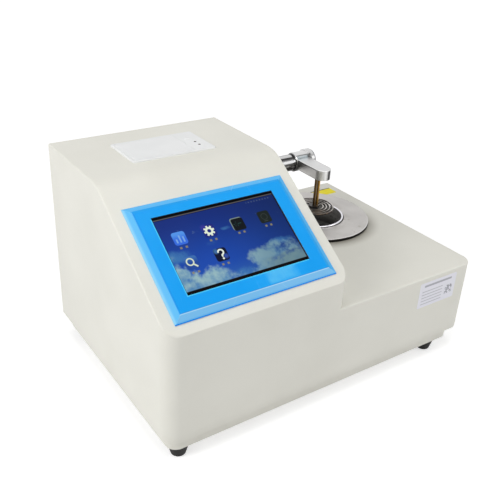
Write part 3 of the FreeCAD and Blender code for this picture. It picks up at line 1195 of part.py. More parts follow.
def small_fittings():
    x = size("fuse_x")
    body = new_body("fuse_holder", x, 0, FITTING_Z)
    inside = PANEL_BACK - size("fuse_body_depth")
    face = PANEL_BACK + size("fuse_flange")
    plug_start = PANEL_BACK - size("fuse_cap_length")
    bore = size("fuse_cap_radius") - size("fuse_flange") / 2 + size("running_gap")
    turn(body, "Y", (0, inside), (size("fuse_radius"), inside), (size("fuse_radius"), PANEL_BACK),
         (size("fuse_flange_radius"), PANEL_BACK), (size("fuse_flange_radius"), face), (bore, face),
         (bore, plug_start), (0, plug_start))
    body = new_body("fuse_cap", x, 0, FITTING_Z)
    plug = bore - size("running_gap")
    end = face + size("fuse_cap_length")
    turn(body, "Y", (0, plug_start), (plug, plug_start), (plug, face), (size("fuse_cap_radius"), face),
         (size("fuse_cap_radius"), end), (0, end))
    fillet(body, size("fuse_flange") / 3, lambda edge: lies_at(edge, "y", end))
    slit = size("fuse_slit") / 2
    pocket(body, "Y", end - size("fuse_slit"), end + OVERRUN, rectangle(
        -size("fuse_cap_radius") - OVERRUN, -slit, size("fuse_cap_radius") + OVERRUN, slit))

    x = size("port_x")
    body = new_body("serial_port")
    pad(body, "Y", PANEL_BACK, PANEL_BACK + size("port_plate"), box_outline(
        x, FITTING_Z, size("port_width") / 2, size("port_height") / 2))
    half, tall = size("port_shell_width") / 2, size("port_shell_height") / 2
    lean = size("port_lean")
    face = PANEL_BACK + size("port_shell_depth")
    shell_outline = polygon((x - half + lean, FITTING_Z - tall), (x + half - lean, FITTING_Z - tall),
                            (x + half, FITTING_Z + tall), (x - half, FITTING_Z + tall))
    pad(body, "Y", PANEL_BACK - size("port_body_depth"), face, shell_outline)
    fillet(body, lean, lambda edge: runs_along(edge, "y") and span(edge, "y")[1] > face.value - NEAR)
    sheet_size = size("port_plate")
    pocket(body, "Y", PANEL_BACK, face + OVERRUN, polygon(
        (x - half + lean + sheet_size, FITTING_Z - tall + sheet_size),
        (x + half - lean - sheet_size, FITTING_Z - tall + sheet_size),
        (x + half - sheet_size * 2, FITTING_Z + tall - sheet_size),
        (x - half + sheet_size * 2, FITTING_Z + tall - sheet_size)))
    spread = (size("port_width") + size("port_shell_width")) / 4
    posts = [(x - spread, FITTING_Z), (x + spread, FITTING_Z)]
    pad(body, "Y", PANEL_BACK + size("port_plate"), face, *[
        circle(a, b, size("port_post_radius")) for a, b in posts])

    body = new_body("gas_inlet", GAS_FITTING_X, 0, FITTING_Z)
    inside = PANEL_BACK - size("gas_body_depth")
    tip = DEPTH + size("gas_reach")
    stem, spigot = size("gas_stem_radius"), size("gas_spigot_radius")
    nut = PANEL_BACK + size("gas_collar_depth")
    collar, bore = size("gas_collar_radius"), size("gas_bore_radius")
    turn(body, "Y", (bore, inside), (stem, inside), (stem, PANEL_BACK), (collar, PANEL_BACK),
         (collar, nut), (spigot, nut), (spigot, tip), (bore, tip))
    chamfer(body, size("gas_tip_chamfer"), lambda edge: (
        lies_at(edge, "y", tip) and edge.Curve.Radius > spigot.value - NEAR))
    fillet(body, size("gas_tip_chamfer"), lambda edge: (
        lies_at(edge, "y", nut) and edge.Curve.Radius > spigot.value + NEAR))
    body = new_body("gas_nut", GAS_FITTING_X, 0, FITTING_Z)
    across = size("gas_nut_corner")
    side = across / 2
    high = across * size("hexagon_share")
    pad(body, "Y", PANEL_FRONT - size("gas_nut_depth"), PANEL_FRONT, polygon(
        (across, 0), (side, high), (-side, high), (-across, 0), (-side, -high), (side, -high)))
    pocket(body, "Y", PANEL_FRONT - size("gas_nut_depth") - OVERRUN, PANEL_FRONT + OVERRUN, circle(
        0, 0, stem + size("bore_play")))


def fan():
    x = size("fan_x")
    half = size("fan_size") / 2
    start = PANEL_FRONT - size("fan_depth")
    bore = size("fan_bore_radius")
    hub = size("fan_hub_radius")
    plate = size("fan_plate")
    body = new_body("fan_frame", x, 0, FAN_Z)
    pad(body, "Y", start, PANEL_FRONT, rounded(-half, -half, half, half, size("fan_corner")))
    pocket(body, "Y", start - OVERRUN, PANEL_FRONT + OVERRUN, circle(0, 0, bore))
    pad(body, "Y", start, start + plate, circle(0, 0, hub))
    strut = size("fan_strut") / 2
    arms = pad(body, "Y", start, start + plate, rectangle(hub - strut, -strut, bore + strut, strut))
    pattern(body, arms, "Y_Axis", FAN_STRUTS)
    axle = size("fan_axle_radius")
    pad(body, "Y", start + plate, PANEL_FRONT - size("fan_end_gap") * 3, circle(0, 0, axle))
    hole = half - size("fan_corner")
    screw_bore = size("screw_radius") + size("bore_play")
    pocket(body, "Y", start - OVERRUN, PANEL_FRONT + OVERRUN, *[
        circle(hole * i, hole * j, screw_bore) for i in (-1, 1) for j in (-1, 1)])

    body = new_body("fan_rotor", x, 0, FAN_Z)
    low = start + plate + size("fan_end_gap") / 4
    high = PANEL_FRONT - size("fan_end_gap")
    seat = axle + size("running_gap")
    seat_end = high - size("fan_end_gap")
    turn(body, "Y", (seat, low), (hub, low), (hub, high), (0, high), (0, seat_end), (seat, seat_end))
    fillet(body, size("fan_end_gap"), lambda edge: lies_at(edge, "y", high))
    middle = (low + high) / 2
    sheet_size = size("blade_sheet")

    def blade_section(chord, lean):
        half_chord = chord / 2
        near, far = middle - lean, middle + lean
        return polygon((near - sheet_size, -half_chord), (near + sheet_size, -half_chord),
                       (far + sheet_size, half_chord), (far - sheet_size, half_chord))

    root = sketch_on(body, "X", hub - sheet_size, [
        blade_section(size("blade_root_chord"), size("blade_root_lean"))])
    tip = sketch_on(body, "X", bore - size("fan_tip_gap"), [
        blade_section(size("blade_tip_chord"), size("blade_tip_lean"))])
    blade = body.newObject("PartDesign::AdditiveLoft", "fan_rotor_blade")
    blade.Profile = root
    blade.Sections = [tip]
    pattern(body, blade, "Y_Axis", FAN_BLADES)

    wire = size("guard_wire_radius")
    plane = PANEL_BACK + wire + size("guard_gap")
    things = [torus(x, plane, FAN_Z, size("guard_pitch") * (i + 1), wire, "Y") for i in range(GUARD_RINGS)]
    reach = size("fan_size") / 2 - size("fan_corner")
    outer = size("guard_pitch") * GUARD_RINGS
    things += [rod(x - outer, plane, FAN_Z, wire, outer * 2, "X"),
               rod(x, plane, FAN_Z - outer, wire, outer * 2)]
    ear = size("guard_ear_radius")
    for i in (-1, 1):
        for j in (-1, 1):
            ear_x, ear_z = x + reach * i, FAN_Z + reach * j
            ear_plate = rod(ear_x, PANEL_BACK, ear_z, ear, size("guard_ear_sheet"), "Y")
            ear_hole = rod(ear_x, PANEL_BACK - OVERRUN, ear_z, screw_bore, OVERRUN * 3, "Y")
            things.append(cut(ear_plate, ear_hole))
            things.append(guard_leg(x, plane, i, j, outer, reach))
    whole("fan_guard", fuse(*things))


def guard_leg(x, plane, i, j, outer, reach):
    """A wire from the guard's outer ring to the ear beside a screw."""
    inner = outer * size("diagonal_share")
    end = reach - size("screw_radius") * 1.5
    length = (end - inner) * (size("diagonal_share") * 2)
    thing = doc.addObject("Part::Cylinder", "leg")
    bind(thing, "Radius", size("guard_wire_radius"))
    bind(thing, "Height", length)
    turned = FreeCAD.Rotation(FreeCAD.Vector(0, 0, 1), FreeCAD.Vector(i, 0, j))
    thing.Placement = FreeCAD.Placement(FreeCAD.Vector(), turned)
    for name, place_size in (("x", x + inner * i), ("y", plane), ("z", FAN_Z + inner * j)):
        bind(thing, "Placement.Base." + name, place_size)
    return thing


def rear_screws():
    radius, head, high = size("screw_radius"), size("screw_head_radius"), size("screw_head_height")
    heads = []
    for number, (x, z) in enumerate(panel_screw_places()):
        fan_screw = number >= PANEL_BORDER_SCREWS
        seat = PANEL_BACK + size("guard_ear_sheet") if fan_screw else PANEL_BACK
        length = size("fan_screw_length") if fan_screw else size("screw_length")
        heads.append(screw(x, seat, z, "Y", radius, head, high, length))
    group("panel_screws", heads)


# Inside the casing

def inside():
    x, y = size("supply_x"), size("supply_y")
    right, rear = x + size("supply_width"), y + size("supply_length")
    top = TRAY_FLOOR + size("supply_height")
    body = new_body("power_supply")
    pad(body, "Z", TRAY_FLOOR, top, rectangle(x, y, right, rear))
    chamfer(body, size("sheet_wall"), lambda edge: lies_at(edge, "z", top))
    pocket(body, "Z", TRAY_FLOOR + size("sheet_wall"), top - size("supply_height") / 3, rectangle(
        right - size("chip_size"), y - OVERRUN, right + OVERRUN, rear + OVERRUN))

    x, y = size("board_x"), size("board_y")
    right, rear = x + size("board_width"), y + size("board_length")
    low = TRAY_FLOOR + size("board_post_height")
    top = low + size("board_sheet")
    inset = size("board_post_inset")
    things = [block(x, y, low, right, rear, top)]
    things += [rod(a, b, TRAY_FLOOR, size("board_post_radius"), size("board_post_height"))
               for a in (x + inset, right - inset) for b in (y + inset, rear - inset)]
    chip = size("chip_size")
    centre_x, centre_y = x + size("board_width") / 2, y + size("board_length") / 2
    chip_top = top + size("chip_height")
    things.append(block(centre_x, centre_y, top, centre_x + chip, centre_y + chip, chip_top))
    relay = size("relay_size")
    relay_top = top + size("relay_height")
    for i in range(RELAYS):
        start = x + inset * 3 + relay * i * 1.5
        things.append(block(start, rear - relay * 1.5, top, start + relay, rear - relay / 2, relay_top))
    whole("controller_board", fuse(*things))

    x, y = CONSOLE + size("valve_offset"), DEPTH - size("valve_rear_inset")
    right, rear = x + size("valve_width"), y + size("valve_length")
    top = TRAY_FLOOR + size("valve_height")
    middle_x, middle_y = (x + right) / 2, (y + rear) / 2
    level = TRAY_FLOOR + size("valve_height") / 2
    port = size("valve_port_length")
    port_run = size("valve_length") + port * 2
    things = [block(x, y, TRAY_FLOOR, right, rear, top),
              rod(middle_x, middle_y, top, size("coil_radius"), size("coil_height")),
              rod(middle_x, y - port, level, size("valve_port_radius"), port_run, "Y")]
    whole("gas_valve", fuse(*things))


def labels():
    body = new_body("front_label")
    x = WIDTH - size("label_right_inset") - size("label_width")
    z = PLATFORM_TOP - size("label_drop") - size("label_height")
    pad(body, "Y", -size("label_sheet"), as_size(0), rounded(
        x, z, x + size("label_width"), z + size("label_height"), size("label_corner")))
    body = new_body("top_sticker")
    x = WIDTH - size("sticker_right_inset") - size("sticker_width")
    y = DEPTH - size("sticker_rear_inset") - size("sticker_length")
    pad(body, "Z", PLATFORM_TOP, PLATFORM_TOP + size("label_sheet"), rounded(
        x, y, x + size("sticker_width"), y + size("sticker_length"), size("sticker_corner")))


BUILDERS = [upper_cover, rear_panel, base_tray, feet, screen, printer_frame, paper_door, paper_path,
            printer_controls, furnace, test_cup, arm_support, arm, arm_tubes, arm_drive, mains_fittings,
            small_fittings, fan, rear_screws, inside, labels]
for build in BUILDERS:
    build()
doc.recompute()

faults = [item.Label for item in doc.Objects if "Invalid" in item.State or "Error" in item.State]
faults += [item.Label for item in pieces if item.Shape.isNull() or not item.Shape.isValid()]
if faults:
    raise RuntimeError("failed objects: " + ", ".join(faults))
os.makedirs("parts", exist_ok=True)
for item in pieces:
    item.Shape.exportStep(os.path.join("parts", item.Label + ".step"))
    print(item.Label, len(item.Shape.Solids), round(item.Shape.Volume))
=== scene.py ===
import json
import math

import bpy
from mathutils import Matrix, Vector

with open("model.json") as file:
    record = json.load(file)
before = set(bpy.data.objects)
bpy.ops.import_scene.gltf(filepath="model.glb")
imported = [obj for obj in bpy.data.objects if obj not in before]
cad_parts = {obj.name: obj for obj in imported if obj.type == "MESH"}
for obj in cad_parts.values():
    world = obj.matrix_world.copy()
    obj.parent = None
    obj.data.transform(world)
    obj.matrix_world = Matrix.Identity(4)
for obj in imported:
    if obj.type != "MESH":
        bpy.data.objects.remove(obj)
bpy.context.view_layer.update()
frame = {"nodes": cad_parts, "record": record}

# Places on the tester, in millimetres: x from its left side, y from its front, z from the table.
# The model itself is in metres, about the middle of its plan.
MIDDLE_X = 230.5
MIDDLE_Y = 160.65
COVER_LOW = 31.0
PLATFORM_Z = COVER_LOW + 101.0

# The sloping front, from the lip upwards
LIP_Z = COVER_LOW + 138.1
SLOPE_COS = 160 / 191.6
SLOPE_SIN = 105.4 / 191.6

# The screen's frame and window, across and up the sloping front
FRAME_LEFT, FRAME_RIGHT, FRAME_LOW, FRAME_HIGH = 14.5, 223.0, 12.5, 153.4
BEVEL_WIDE = 9.5
WINDOW_LEFT, WINDOW_RIGHT, WINDOW_LOW, WINDOW_HIGH = 40.3, 196.3, 38.5, 132.8
WINDOW_MIDDLE = (WINDOW_LEFT + WINDOW_RIGHT) / 2

# The icons on the screen: four above, and two below the first two
ICON_COLUMNS = (61.0, 97.8, 134.6, 171.3)
ICON_STEP = 36.8
ICON_UPPER = 103.3
ICON_LOWER = 72.4
ROWS_MIDDLE = (ICON_UPPER + ICON_LOWER) / 2
TILE_HALF = 7.9
CAPTION_DROP = 11.6
LOWER_ROW_END = 116.0

# The furnace with its disc and cup
FURNACE_X = 355.2
FURNACE_Y = 210.5
DISC_RADIUS = 80.4
DISC_HOLE_RADIUS = 44.7
CUP_RADIUS = 41.2
HUB_RADIUS = 8.2

# The arm's axis, and its bar
ARM_Y = 252.0
ARM_Z = 206.4
BAR_LEFT = 342.9
BAR_LOW = 198.4
BAR_HIGH = 213.3
TIP_Y = 198.7
# Where the painted shade on the bar's left side begins, and the length over which it deepens
# towards the head
BAR_SHADE_Y = 206.0
BAR_SHADE_LENGTH = 32.0

STICKER_LINE_Y = 281.4

# Background level for the rays that only light the tester, and the place the lamps face, in metres
LIGHT_LEVEL = 0.20
LAMP_AIM = Vector((0, 0, 0.12))

# Sockets of a Mix node that mixes colours
MIX_FACTOR, MIX_FIRST, MIX_SECOND = 0, 6, 7
MIX_RESULT = 2


def desk(x, y, z):
    """A place on or round the tester, in the model's metres."""
    return Vector(((x - MIDDLE_X) / 1000, (y - MIDDLE_Y) / 1000, z / 1000))


def photo_camera():
    """The camera at the photographed view."""
    data = bpy.data.cameras.new("photo_camera")
    data.sensor_width = 36
    data.lens = 50.16
    data.shift_x = 0.0186
    data.shift_y = -0.0166
    data.clip_start = 0.01
    camera = bpy.data.objects.new("photo_camera", data)
    bpy.context.scene.collection.objects.link(camera)
    forward = Vector((0.5074, 0.7257, -0.4647)).normalized()
    right = forward.cross(Vector((0.2261, 0.4082, 0.8844))).normalized()
    above = right.cross(forward)
    axes = Matrix((right, above, -forward)).transposed().to_4x4()
    eye = desk(-261.3, -489.7, 540.9 + COVER_LOW)
    camera.matrix_world = Matrix.Translation(eye) @ axes
    return camera


bpy.context.scene.camera = photo_camera()


# Shader arithmetic

def linear(shown):
    """The linear value of a displayed one, both from 0 to 1."""
    return shown / 12.92 if shown <= 0.04045 else ((shown + 0.055) / 1.055) ** 2.4


def shade(red, green=None, blue=None):
    """The linear values of a colour, or of a grey, that is given as displayed, from 0 to 255."""
    levels = (red, red, red) if green is None else (red, green, blue)
    return tuple(linear(level / 255) for level in levels)


class Value:
    """A number that the shader works out at each point."""

    def __init__(self, nodes, socket):
        self.nodes = nodes
        self.socket = socket

    def __add__(self, other):
        return self.nodes.math("ADD", self, other)

    def __radd__(self, other):
        return self.nodes.math("ADD", other, self)

    def __sub__(self, other):
        return self.nodes.math("SUBTRACT", self, other)

    def __rsub__(self, other):
        return self.nodes.math("SUBTRACT", other, self)

    def __mul__(self, other):
        return self.nodes.math("MULTIPLY", self, other)

    def __rmul__(self, other):
        return self.nodes.math("MULTIPLY", other, self)

    def __truediv__(self, other):
        return self.nodes.math("DIVIDE", self, other)

    def __rtruediv__(self, other):
        return self.nodes.math("DIVIDE", other, self)

    def __neg__(self):
        return self.nodes.math("MULTIPLY", self, -1.0)

    def __abs__(self):
        return self.nodes.math("ABSOLUTE", self)

    def most(self, other):
        return self.nodes.math("MAXIMUM", self, other)

    def least(self, other):
        return self.nodes.math("MINIMUM", self, other)

    def root(self):
        return self.nodes.math("SQRT", self)

    def wrap(self, length):
        return self.nodes.math("WRAP", self, length, 0.0)

    def sine(self):
        return self.nodes.math("SINE", self)

    def clamp(self):
        return self.nodes.math("ADD", self, 0.0, clamp=True)

    def smooth(self, low, high):
        """0 below low, 1 above high, and smooth between them."""
        node = self.nodes.node("ShaderNodeMapRange",
                               {"Value": self, "From Min": low, "From Max": high},
                               interpolation_type="SMOOTHSTEP")
        return Value(self.nodes, node.outputs["Result"])


def most_of(first, *others):
    for other in others:
        first = first.most(other)
    return first


def least_of(first, *others):
    for other in others:
        first = first.least(other)
    return first


class Nodes:
    """Adds nodes to the tree of a material or of the world."""

    def __init__(self, tree):
        self.tree = tree

    def node(self, kind, inputs, stops=(), **settings):
        node = self.tree.nodes.new(kind)
        for key, value in settings.items():
            setattr(node, key, value)
        if stops:
            ends = node.color_ramp.elements
            ends[0].color, ends[1].color = (*stops[0][1], 1.0), (*stops[-1][1], 1.0)
            for place, color in stops[1:-1]:
                node.color_ramp.elements.new(place).color = (*color, 1.0)
        for key, value in inputs.items():
            self.feed(node.inputs[key], value)
        return node

    def feed(self, socket, value):
        if isinstance(value, Value):
            value = value.socket
        if isinstance(value, bpy.types.NodeSocket):
            self.tree.links.new(value, socket)
        elif isinstance(value, tuple) and len(value) == 3 and socket.type == "RGBA":
            socket.default_value = (*value, 1.0)
        else:
            socket.default_value = value

    def math(self, operation, *values, clamp=False):
        node = self.node("ShaderNodeMath", dict(enumerate(values)),
                         operation=operation, use_clamp=clamp)
        return Value(self, node.outputs[0])

    def in_sight(self):
        """1 for the rays that show the background, and 0 for those that only carry its light."""
        path = self.node("ShaderNodeLightPath", {})
        kinds = ("Is Camera Ray", "Is Glossy Ray", "Is Transmission Ray")
        return most_of(*(Value(self, path.outputs[kind]) for kind in kinds))


class Paint(Nodes):
    """One material: a principled shader, with inputs worked out from the place on the object."""

    def __init__(self, name, **constants):
        self.material = bpy.data.materials.new(name)
        self.material.use_nodes = True
        super().__init__(self.material.node_tree)
        self.tree.nodes.clear()
        self.shader = self.node("ShaderNodeBsdfPrincipled", {})
        self.node("ShaderNodeOutputMaterial", {"Surface": self.shader.outputs[0]})
        for key, value in constants.items():
            self.shader.inputs[key.replace("_", " ")].default_value = value
        place = self.node("ShaderNodeTexCoord", {})
        self.spot = place.outputs["Object"]
        self.facing = place.outputs["Normal"]
        split = self.node("ShaderNodeSeparateXYZ", {0: self.spot})
        self.x = Value(self, split.outputs[0]) * 1000 + MIDDLE_X
        self.y = Value(self, split.outputs[1]) * 1000 + MIDDLE_Y
        self.z = Value(self, split.outputs[2]) * 1000

    def mix(self, factor, first, second):
        """The first colour where the factor is 0, and the second where it is 1."""
        colors = {MIX_FACTOR: factor, MIX_FIRST: first, MIX_SECOND: second}
        node = self.node("ShaderNodeMix", colors, data_type="RGBA", clamp_factor=True)
        return node.outputs[MIX_RESULT]

    def noise(self, scale, detail=3.0, roughness=0.5, stretch=None, distortion=0.0):
        """Noise about 0.5 with the given number of features to a metre."""
        where = self.spot
        if stretch:
            stretched = self.node("ShaderNodeVectorMath", {0: self.spot, 1: stretch},
                                  operation="MULTIPLY")
            where = stretched.outputs[0]
        node = self.node("ShaderNodeTexNoise", {
            "Vector": where, "Scale": scale, "Detail": detail, "Roughness": roughness,
            "Distortion": distortion})
        return Value(self, node.outputs["Fac"])

    def rings(self, radius, scale, detail, roughness):
        """Noise about 0.5 that changes with the radius alone."""
        node = self.node("ShaderNodeTexNoise", {
            "W": radius, "Scale": scale, "Detail": detail, "Roughness": roughness},
            noise_dimensions="1D")
        return Value(self, node.outputs["Fac"])

    def specks(self, scale, low, high):
        """Scattered round spots: 1 inside a spot of the given share of its cell."""
        node = self.node("ShaderNodeTexVoronoi", {"Vector": self.spot, "Scale": scale})
        return 1.0 - Value(self, node.outputs["Distance"]).smooth(low, high)

    def normal(self):
        """The three parts of the surface's direction, which turn with the piece."""
        split = self.node("ShaderNodeSeparateXYZ", {0: self.facing})
        return [Value(self, part) for part in split.outputs]

    def degrees(self, high, wide):
        return self.math("ARCTAN2", high, wide) * (180.0 / math.pi)

    def bands(self, angle, stops):
        """A colour by angle, from pairs of degrees and a displayed grey."""
        low, high = stops[0][0], stops[-1][0]
        marks = [((at - low) / (high - low), shade(level)) for at, level in stops]
        share = (angle - low) / (high - low)
        return self.node("ShaderNodeValToRGB", {"Fac": share}, stops=marks).outputs["Color"]

    def slope(self):
        """Distances across and up the sloping front, in millimetres."""
        return self.x, self.y * SLOPE_COS + (self.z - LIP_Z) * SLOPE_SIN

    def furnace_reach(self):
        """Distance from the furnace's axis, in millimetres."""
        across, along = self.x - FURNACE_X, self.y - FURNACE_Y
        return (across * across + along * along).root()

    def finish(self, color, rough, bump=None, **varying):
        """Feeds the shader: a bump is its height, its strength and its distance in metres."""
        self.feed(self.shader.inputs["Base Color"], color)
        self.feed(self.shader.inputs["Roughness"], rough)
        if bump is not None:
            height, strength, distance = bump
            node = self.node("ShaderNodeBump", {
                "Height": height, "Strength": strength, "Distance": distance})
            self.feed(self.shader.inputs["Normal"], node.outputs[0])
        for key, value in varying.items():
            self.feed(self.shader.inputs[key.replace("_", " ")], value)
        return self.material


# Flat drawing with signed distances, in millimetres

def box_distance(px, py, x, y, half_x, half_y, corner=0.0):
    dx = abs(px - x) - (half_x - corner)
    dy = abs(py - y) - (half_y - corner)
    if not corner:
        return dx.most(dy)
    past_x, past_y = dx.most(0.0), dy.most(0.0)
    return (past_x * past_x + past_y * past_y).root() + dx.most(dy).least(0.0) - corner


def disc_distance(px, py, x, y, radius):
    return ((px - x) * (px - x) + (py - y) * (py - y)).root() - radius


def inside(distance, soft=0.35):
    """1 where the distance is below 0, with an edge of the given softness."""
    return (0.5 - distance / soft).clamp()


# Casing

def cream_paint():
    """Powder coat: fine grain, faint clouds, grime low down, painted shade under the disc's edge
    and a painted shadow of the disc around it.
    """
    p = Paint("cream_paint", Specular_IOR_Level=0.42, Coat_Roughness=0.35)
    grain = p.noise(1100, 2.0)
    cloud = p.noise(9, 3.0)
    fleck = p.noise(420, 2.0, 0.6).smooth(0.60, 0.78)
    color = p.mix(cloud.smooth(0.3, 0.7), (0.775, 0.765, 0.695), (0.815, 0.805, 0.735))
    color = p.mix(fleck * 0.10, color, (0.70, 0.68, 0.60))
    low = 1.0 - p.z.smooth(26.0, 44.0)
    color = p.mix(low * p.noise(60, 4.0) * 0.35, color, (0.50, 0.48, 0.42))
    reach = p.furnace_reach()
    height = p.z - PLATFORM_Z
    on_top = height.smooth(-2.0, -1.0) * (1.0 - height.smooth(1.0, 2.0))
    # Painted shadow of the disc on the platform around it, strongest on its front side; stain here
    # holds that painted shadow, with noise
    forward = ((FURNACE_Y - p.y) / reach).smooth(0.05, 0.95)
    near = 1.0 - reach.smooth(DISC_RADIUS - 2.4, DISC_RADIUS + 20.6)
    stain = near * on_top * (forward * 0.8 + 0.1)
    color = p.mix(stain * (0.80 + p.noise(70, 4.0) * 0.25), color, (0.26, 0.24, 0.19))
    # Painted shade, nearly black, on the platform in the gap under the disc's edge
    under_disc_shade = inside(reach - DISC_RADIUS - 0.2, 1.6) * on_top
    color = p.mix(under_disc_shade * 0.97, color, (0.012, 0.010, 0.008))
    rough = 0.40 + p.noise(25, 4.0) * 0.14 + fleck * 0.05
    bump = (grain + p.noise(300, 2.0) * 0.6, 0.10, 0.0002)
    return p.finish(color, rough, bump, Coat_Weight=0.10 + cloud * 0.08)


def black_rubber():
    p = Paint("black_rubber", Specular_IOR_Level=0.3)
    dust = p.noise(220, 5.0, 0.65)
    color = p.mix(dust.smooth(0.45, 0.75) * 0.5, (0.012, 0.012, 0.012), (0.06, 0.058, 0.055))
    return p.finish(color, 0.62 + dust * 0.2, (p.noise(1500, 3.0), 0.25, 0.0003))


# Screen

def blue_plastic():
    """The screen's frame: flat face with a soft painted reflection, four lighter bevels in painted
    light and shade, painted shade on the dark wall, and a painted highlight along the window's
    edge.
    """
    p = Paint("blue_plastic", Specular_IOR_Level=0.10)
    across, up = p.slope()
    left, right = across - FRAME_LEFT, FRAME_RIGHT - across
    low, high = up - FRAME_LOW, FRAME_HIGH - up
    edge = least_of(left, right, low, high)
    tone = p.noise(14, 3.0)
    color = p.mix(tone.smooth(0.3, 0.7), shade(20, 164, 250), shade(32, 170, 253))
    # A soft painted reflection on the flat face, low on the right
    painted_reflection = inside(box_distance(across, up, 155.0, 30.5, 20.0, 8.0, 4.0), 5.0)
    painted_reflection = painted_reflection * p.noise(30, 3.0).smooth(0.2, 0.5)
    color = p.mix(painted_reflection, color, shade(84, 194, 254))
    # Each bevel is painted lighter or darker by the way it faces, with a painted highlight strip:
    # distance from its side and from the nearest other side, width of its highlight strip, the
    # strip's outer and inner tones, and the tone of the rest of the bevel
    bevels = (
        (left, least_of(right, low, high), 8.0,
         shade(146, 212, 250), shade(104, 194, 248), shade(28, 154, 240)),
        (right, least_of(left, low, high), 5.4,
         shade(88, 190, 253), shade(76, 186, 252), shade(30, 172, 252)),
        (low, least_of(left, right, high), 8.7,
         shade(102, 186, 244), shade(124, 198, 248), shade(28, 158, 242)),
        (high, least_of(left, right, low), 6.3,
         shade(98, 190, 250), shade(96, 192, 250), shade(30, 164, 246)),
    )
    for near, others, wide, outer, inner, rest in bevels:
        strip = p.mix(near.smooth(0.8, 3.4), outer, inner)
        strip = p.mix(near.smooth(wide - 0.4, wide + 0.4), strip, rest)
        on_bevel = inside(near - others, 0.6) * inside(near - BEVEL_WIDE - 0.2, 0.9)
        color = p.mix(on_bevel, color, strip)
    # Painted highlight along the mitres where two bevels meet
    mitre = least_of(abs(left - low), abs(left - high), abs(right - low), abs(right - high))
    mitre = inside(mitre - 0.35, 0.5) * inside(edge - 8.0, 0.8)
    color = p.mix(mitre * 0.5, color, shade(150, 215, 254))
    # On the low bevel: a painted highlight line across it, and painted shade along its outer lower
    # edge
    along_low = inside(low - edge - 0.5, 0.5)
    color = p.mix(inside(abs(low - 8.2) - 0.4, 0.5) * along_low, color, shade(178, 224, 254))
    color = p.mix(inside(low - 1.0, 0.5) * along_low, color, shade(0, 140, 244))
    window = box_distance(
        across, up, WINDOW_MIDDLE, (WINDOW_LOW + WINDOW_HIGH) / 2,
        (WINDOW_RIGHT - WINDOW_LEFT) / 2, (WINDOW_HIGH - WINDOW_LOW) / 2)
    # Painted highlight along the window's left and low edges
    left_and_low = inside(across - WINDOW_RIGHT + 0.8, 0.5) * inside(up - WINDOW_HIGH + 1.3, 0.5)
    color = p.mix(inside(abs(window - 1.3) - 0.8, 0.5) * left_and_low, color, shade(78, 206, 255))
    # Painted shade, nearly black, on the wall of the window's opening
    color = p.mix(inside(window - 0.8, 0.4), color, shade(6, 8, 14))
    grain = p.noise(900, 2.0)
    scratch = p.noise(160, 4.0, 0.7, stretch=(1.0, 0.12, 0.12)).smooth(0.62, 0.75)
    rough = 0.20 + tone * 0.10 + scratch * 0.12
    return p.finish(color, rough, (grain, 0.03, 0.0001), Coat_Weight=0.02 + tone * 0.03)


class Picture:
    """The picture on the screen, painted one shape after another."""

    def __init__(self, paint):
        self.paint = paint
        self.across, self.up = paint.slope()
        first = ICON_COLUMNS[0] - ICON_STEP / 2
        self.in_column = (self.across - first).wrap(ICON_STEP) - ICON_STEP / 2
        self.image = None

    def add(self, mask, color, strength=1.0):
        if strength != 1.0:
            mask = mask * strength
        self.image = self.paint.mix(mask, self.image, color)

    def box(self, x, y, half_x, half_y, corner=0.0):
        return box_distance(self.across, self.up, x, y, half_x, half_y, corner)

    def disc(self, x, y, radius):
        return disc_distance(self.across, self.up, x, y, radius)


def draw_sky(picture):
    """A sky with two banks of soft cloud along its lower edge, and a few wisps."""
    p = picture.paint
    # Shares of the window's width and height
    a = (picture.across - WINDOW_LEFT) / (WINDOW_RIGHT - WINDOW_LEFT)
    b = (picture.up - WINDOW_LOW) / (WINDOW_HIGH - WINDOW_LOW)
    sky = p.mix(b.smooth(0.15, 1.0), shade(28, 74, 172), shade(22, 45, 120))
    sky = p.mix(a.smooth(0.25, 1.15) * 0.75, sky, shade(16, 36, 82))
    billow = p.noise(48, 7.0, 0.58, distortion=0.3)
    wisp = p.noise(150, 5.0, 0.55)

    def heap(x, y, wide, high):
        """1 in the middle of a heap of cloud, and 0 round its outline."""
        dx = (a - x) / wide
        dy = (b - y) / high
        return 1.0 - dx * dx - dy * dy

    left = most_of(heap(0.00, 0.08, 0.17, 0.29), heap(0.27, 0.08, 0.13, 0.18),
                   heap(0.15, 0.00, 0.31, 0.20)) * 1.3
    right = most_of(heap(0.66, 0.18, 0.11, 0.16), heap(0.79, 0.22, 0.13, 0.14),
                    heap(0.93, 0.24, 0.12, 0.10) * 0.5)
    bank = most_of(heap(0.93, 0.03, 0.22, 0.16), heap(0.70, 0.03, 0.18, 0.13)) * 1.2
    faint = most_of(heap(0.05, 0.46, 0.15, 0.13), heap(0.48, 0.06, 0.14, 0.10),
                    heap(0.86, 0.33, 0.16, 0.07), heap(0.50, 0.67, 0.06, 0.04) * 1.1,
                    heap(0.33, 0.54, 0.08, 0.07) * 0.7)
    rough = (billow - 0.5) * 2.9 + (wisp - 0.5) * 1.1
    heaps = most_of(left, heap(0.02, 0.24, 0.09, 0.10) * 2.0, right, bank).most(-0.6)
    cover = (heaps + rough).smooth(-0.15, 0.90)
    veil = (faint - 0.25 + rough * 0.75).smooth(0.0, 1.2)
    light = (billow * 1.4 + wisp * 0.6 + b * 0.5).smooth(0.78, 1.30)
    body = p.mix(light, shade(92, 140, 178), shade(156, 190, 191))
    body = p.mix(a.smooth(0.40, 0.75) * 0.62, body, shade(80, 120, 146))
    in_bank = inside(-bank, 0.4) * a.smooth(0.6, 0.8)
    body = p.mix(in_bank * 0.6, body, shade(108, 134, 132))
    haze = p.mix((1.0 - b.smooth(0.0, 0.30)) * 0.32, sky, shade(66, 120, 172))
    haze = p.mix(veil * 0.75, haze, shade(68, 126, 178))
    picture.image = p.mix(cover * 0.92, haze, body)


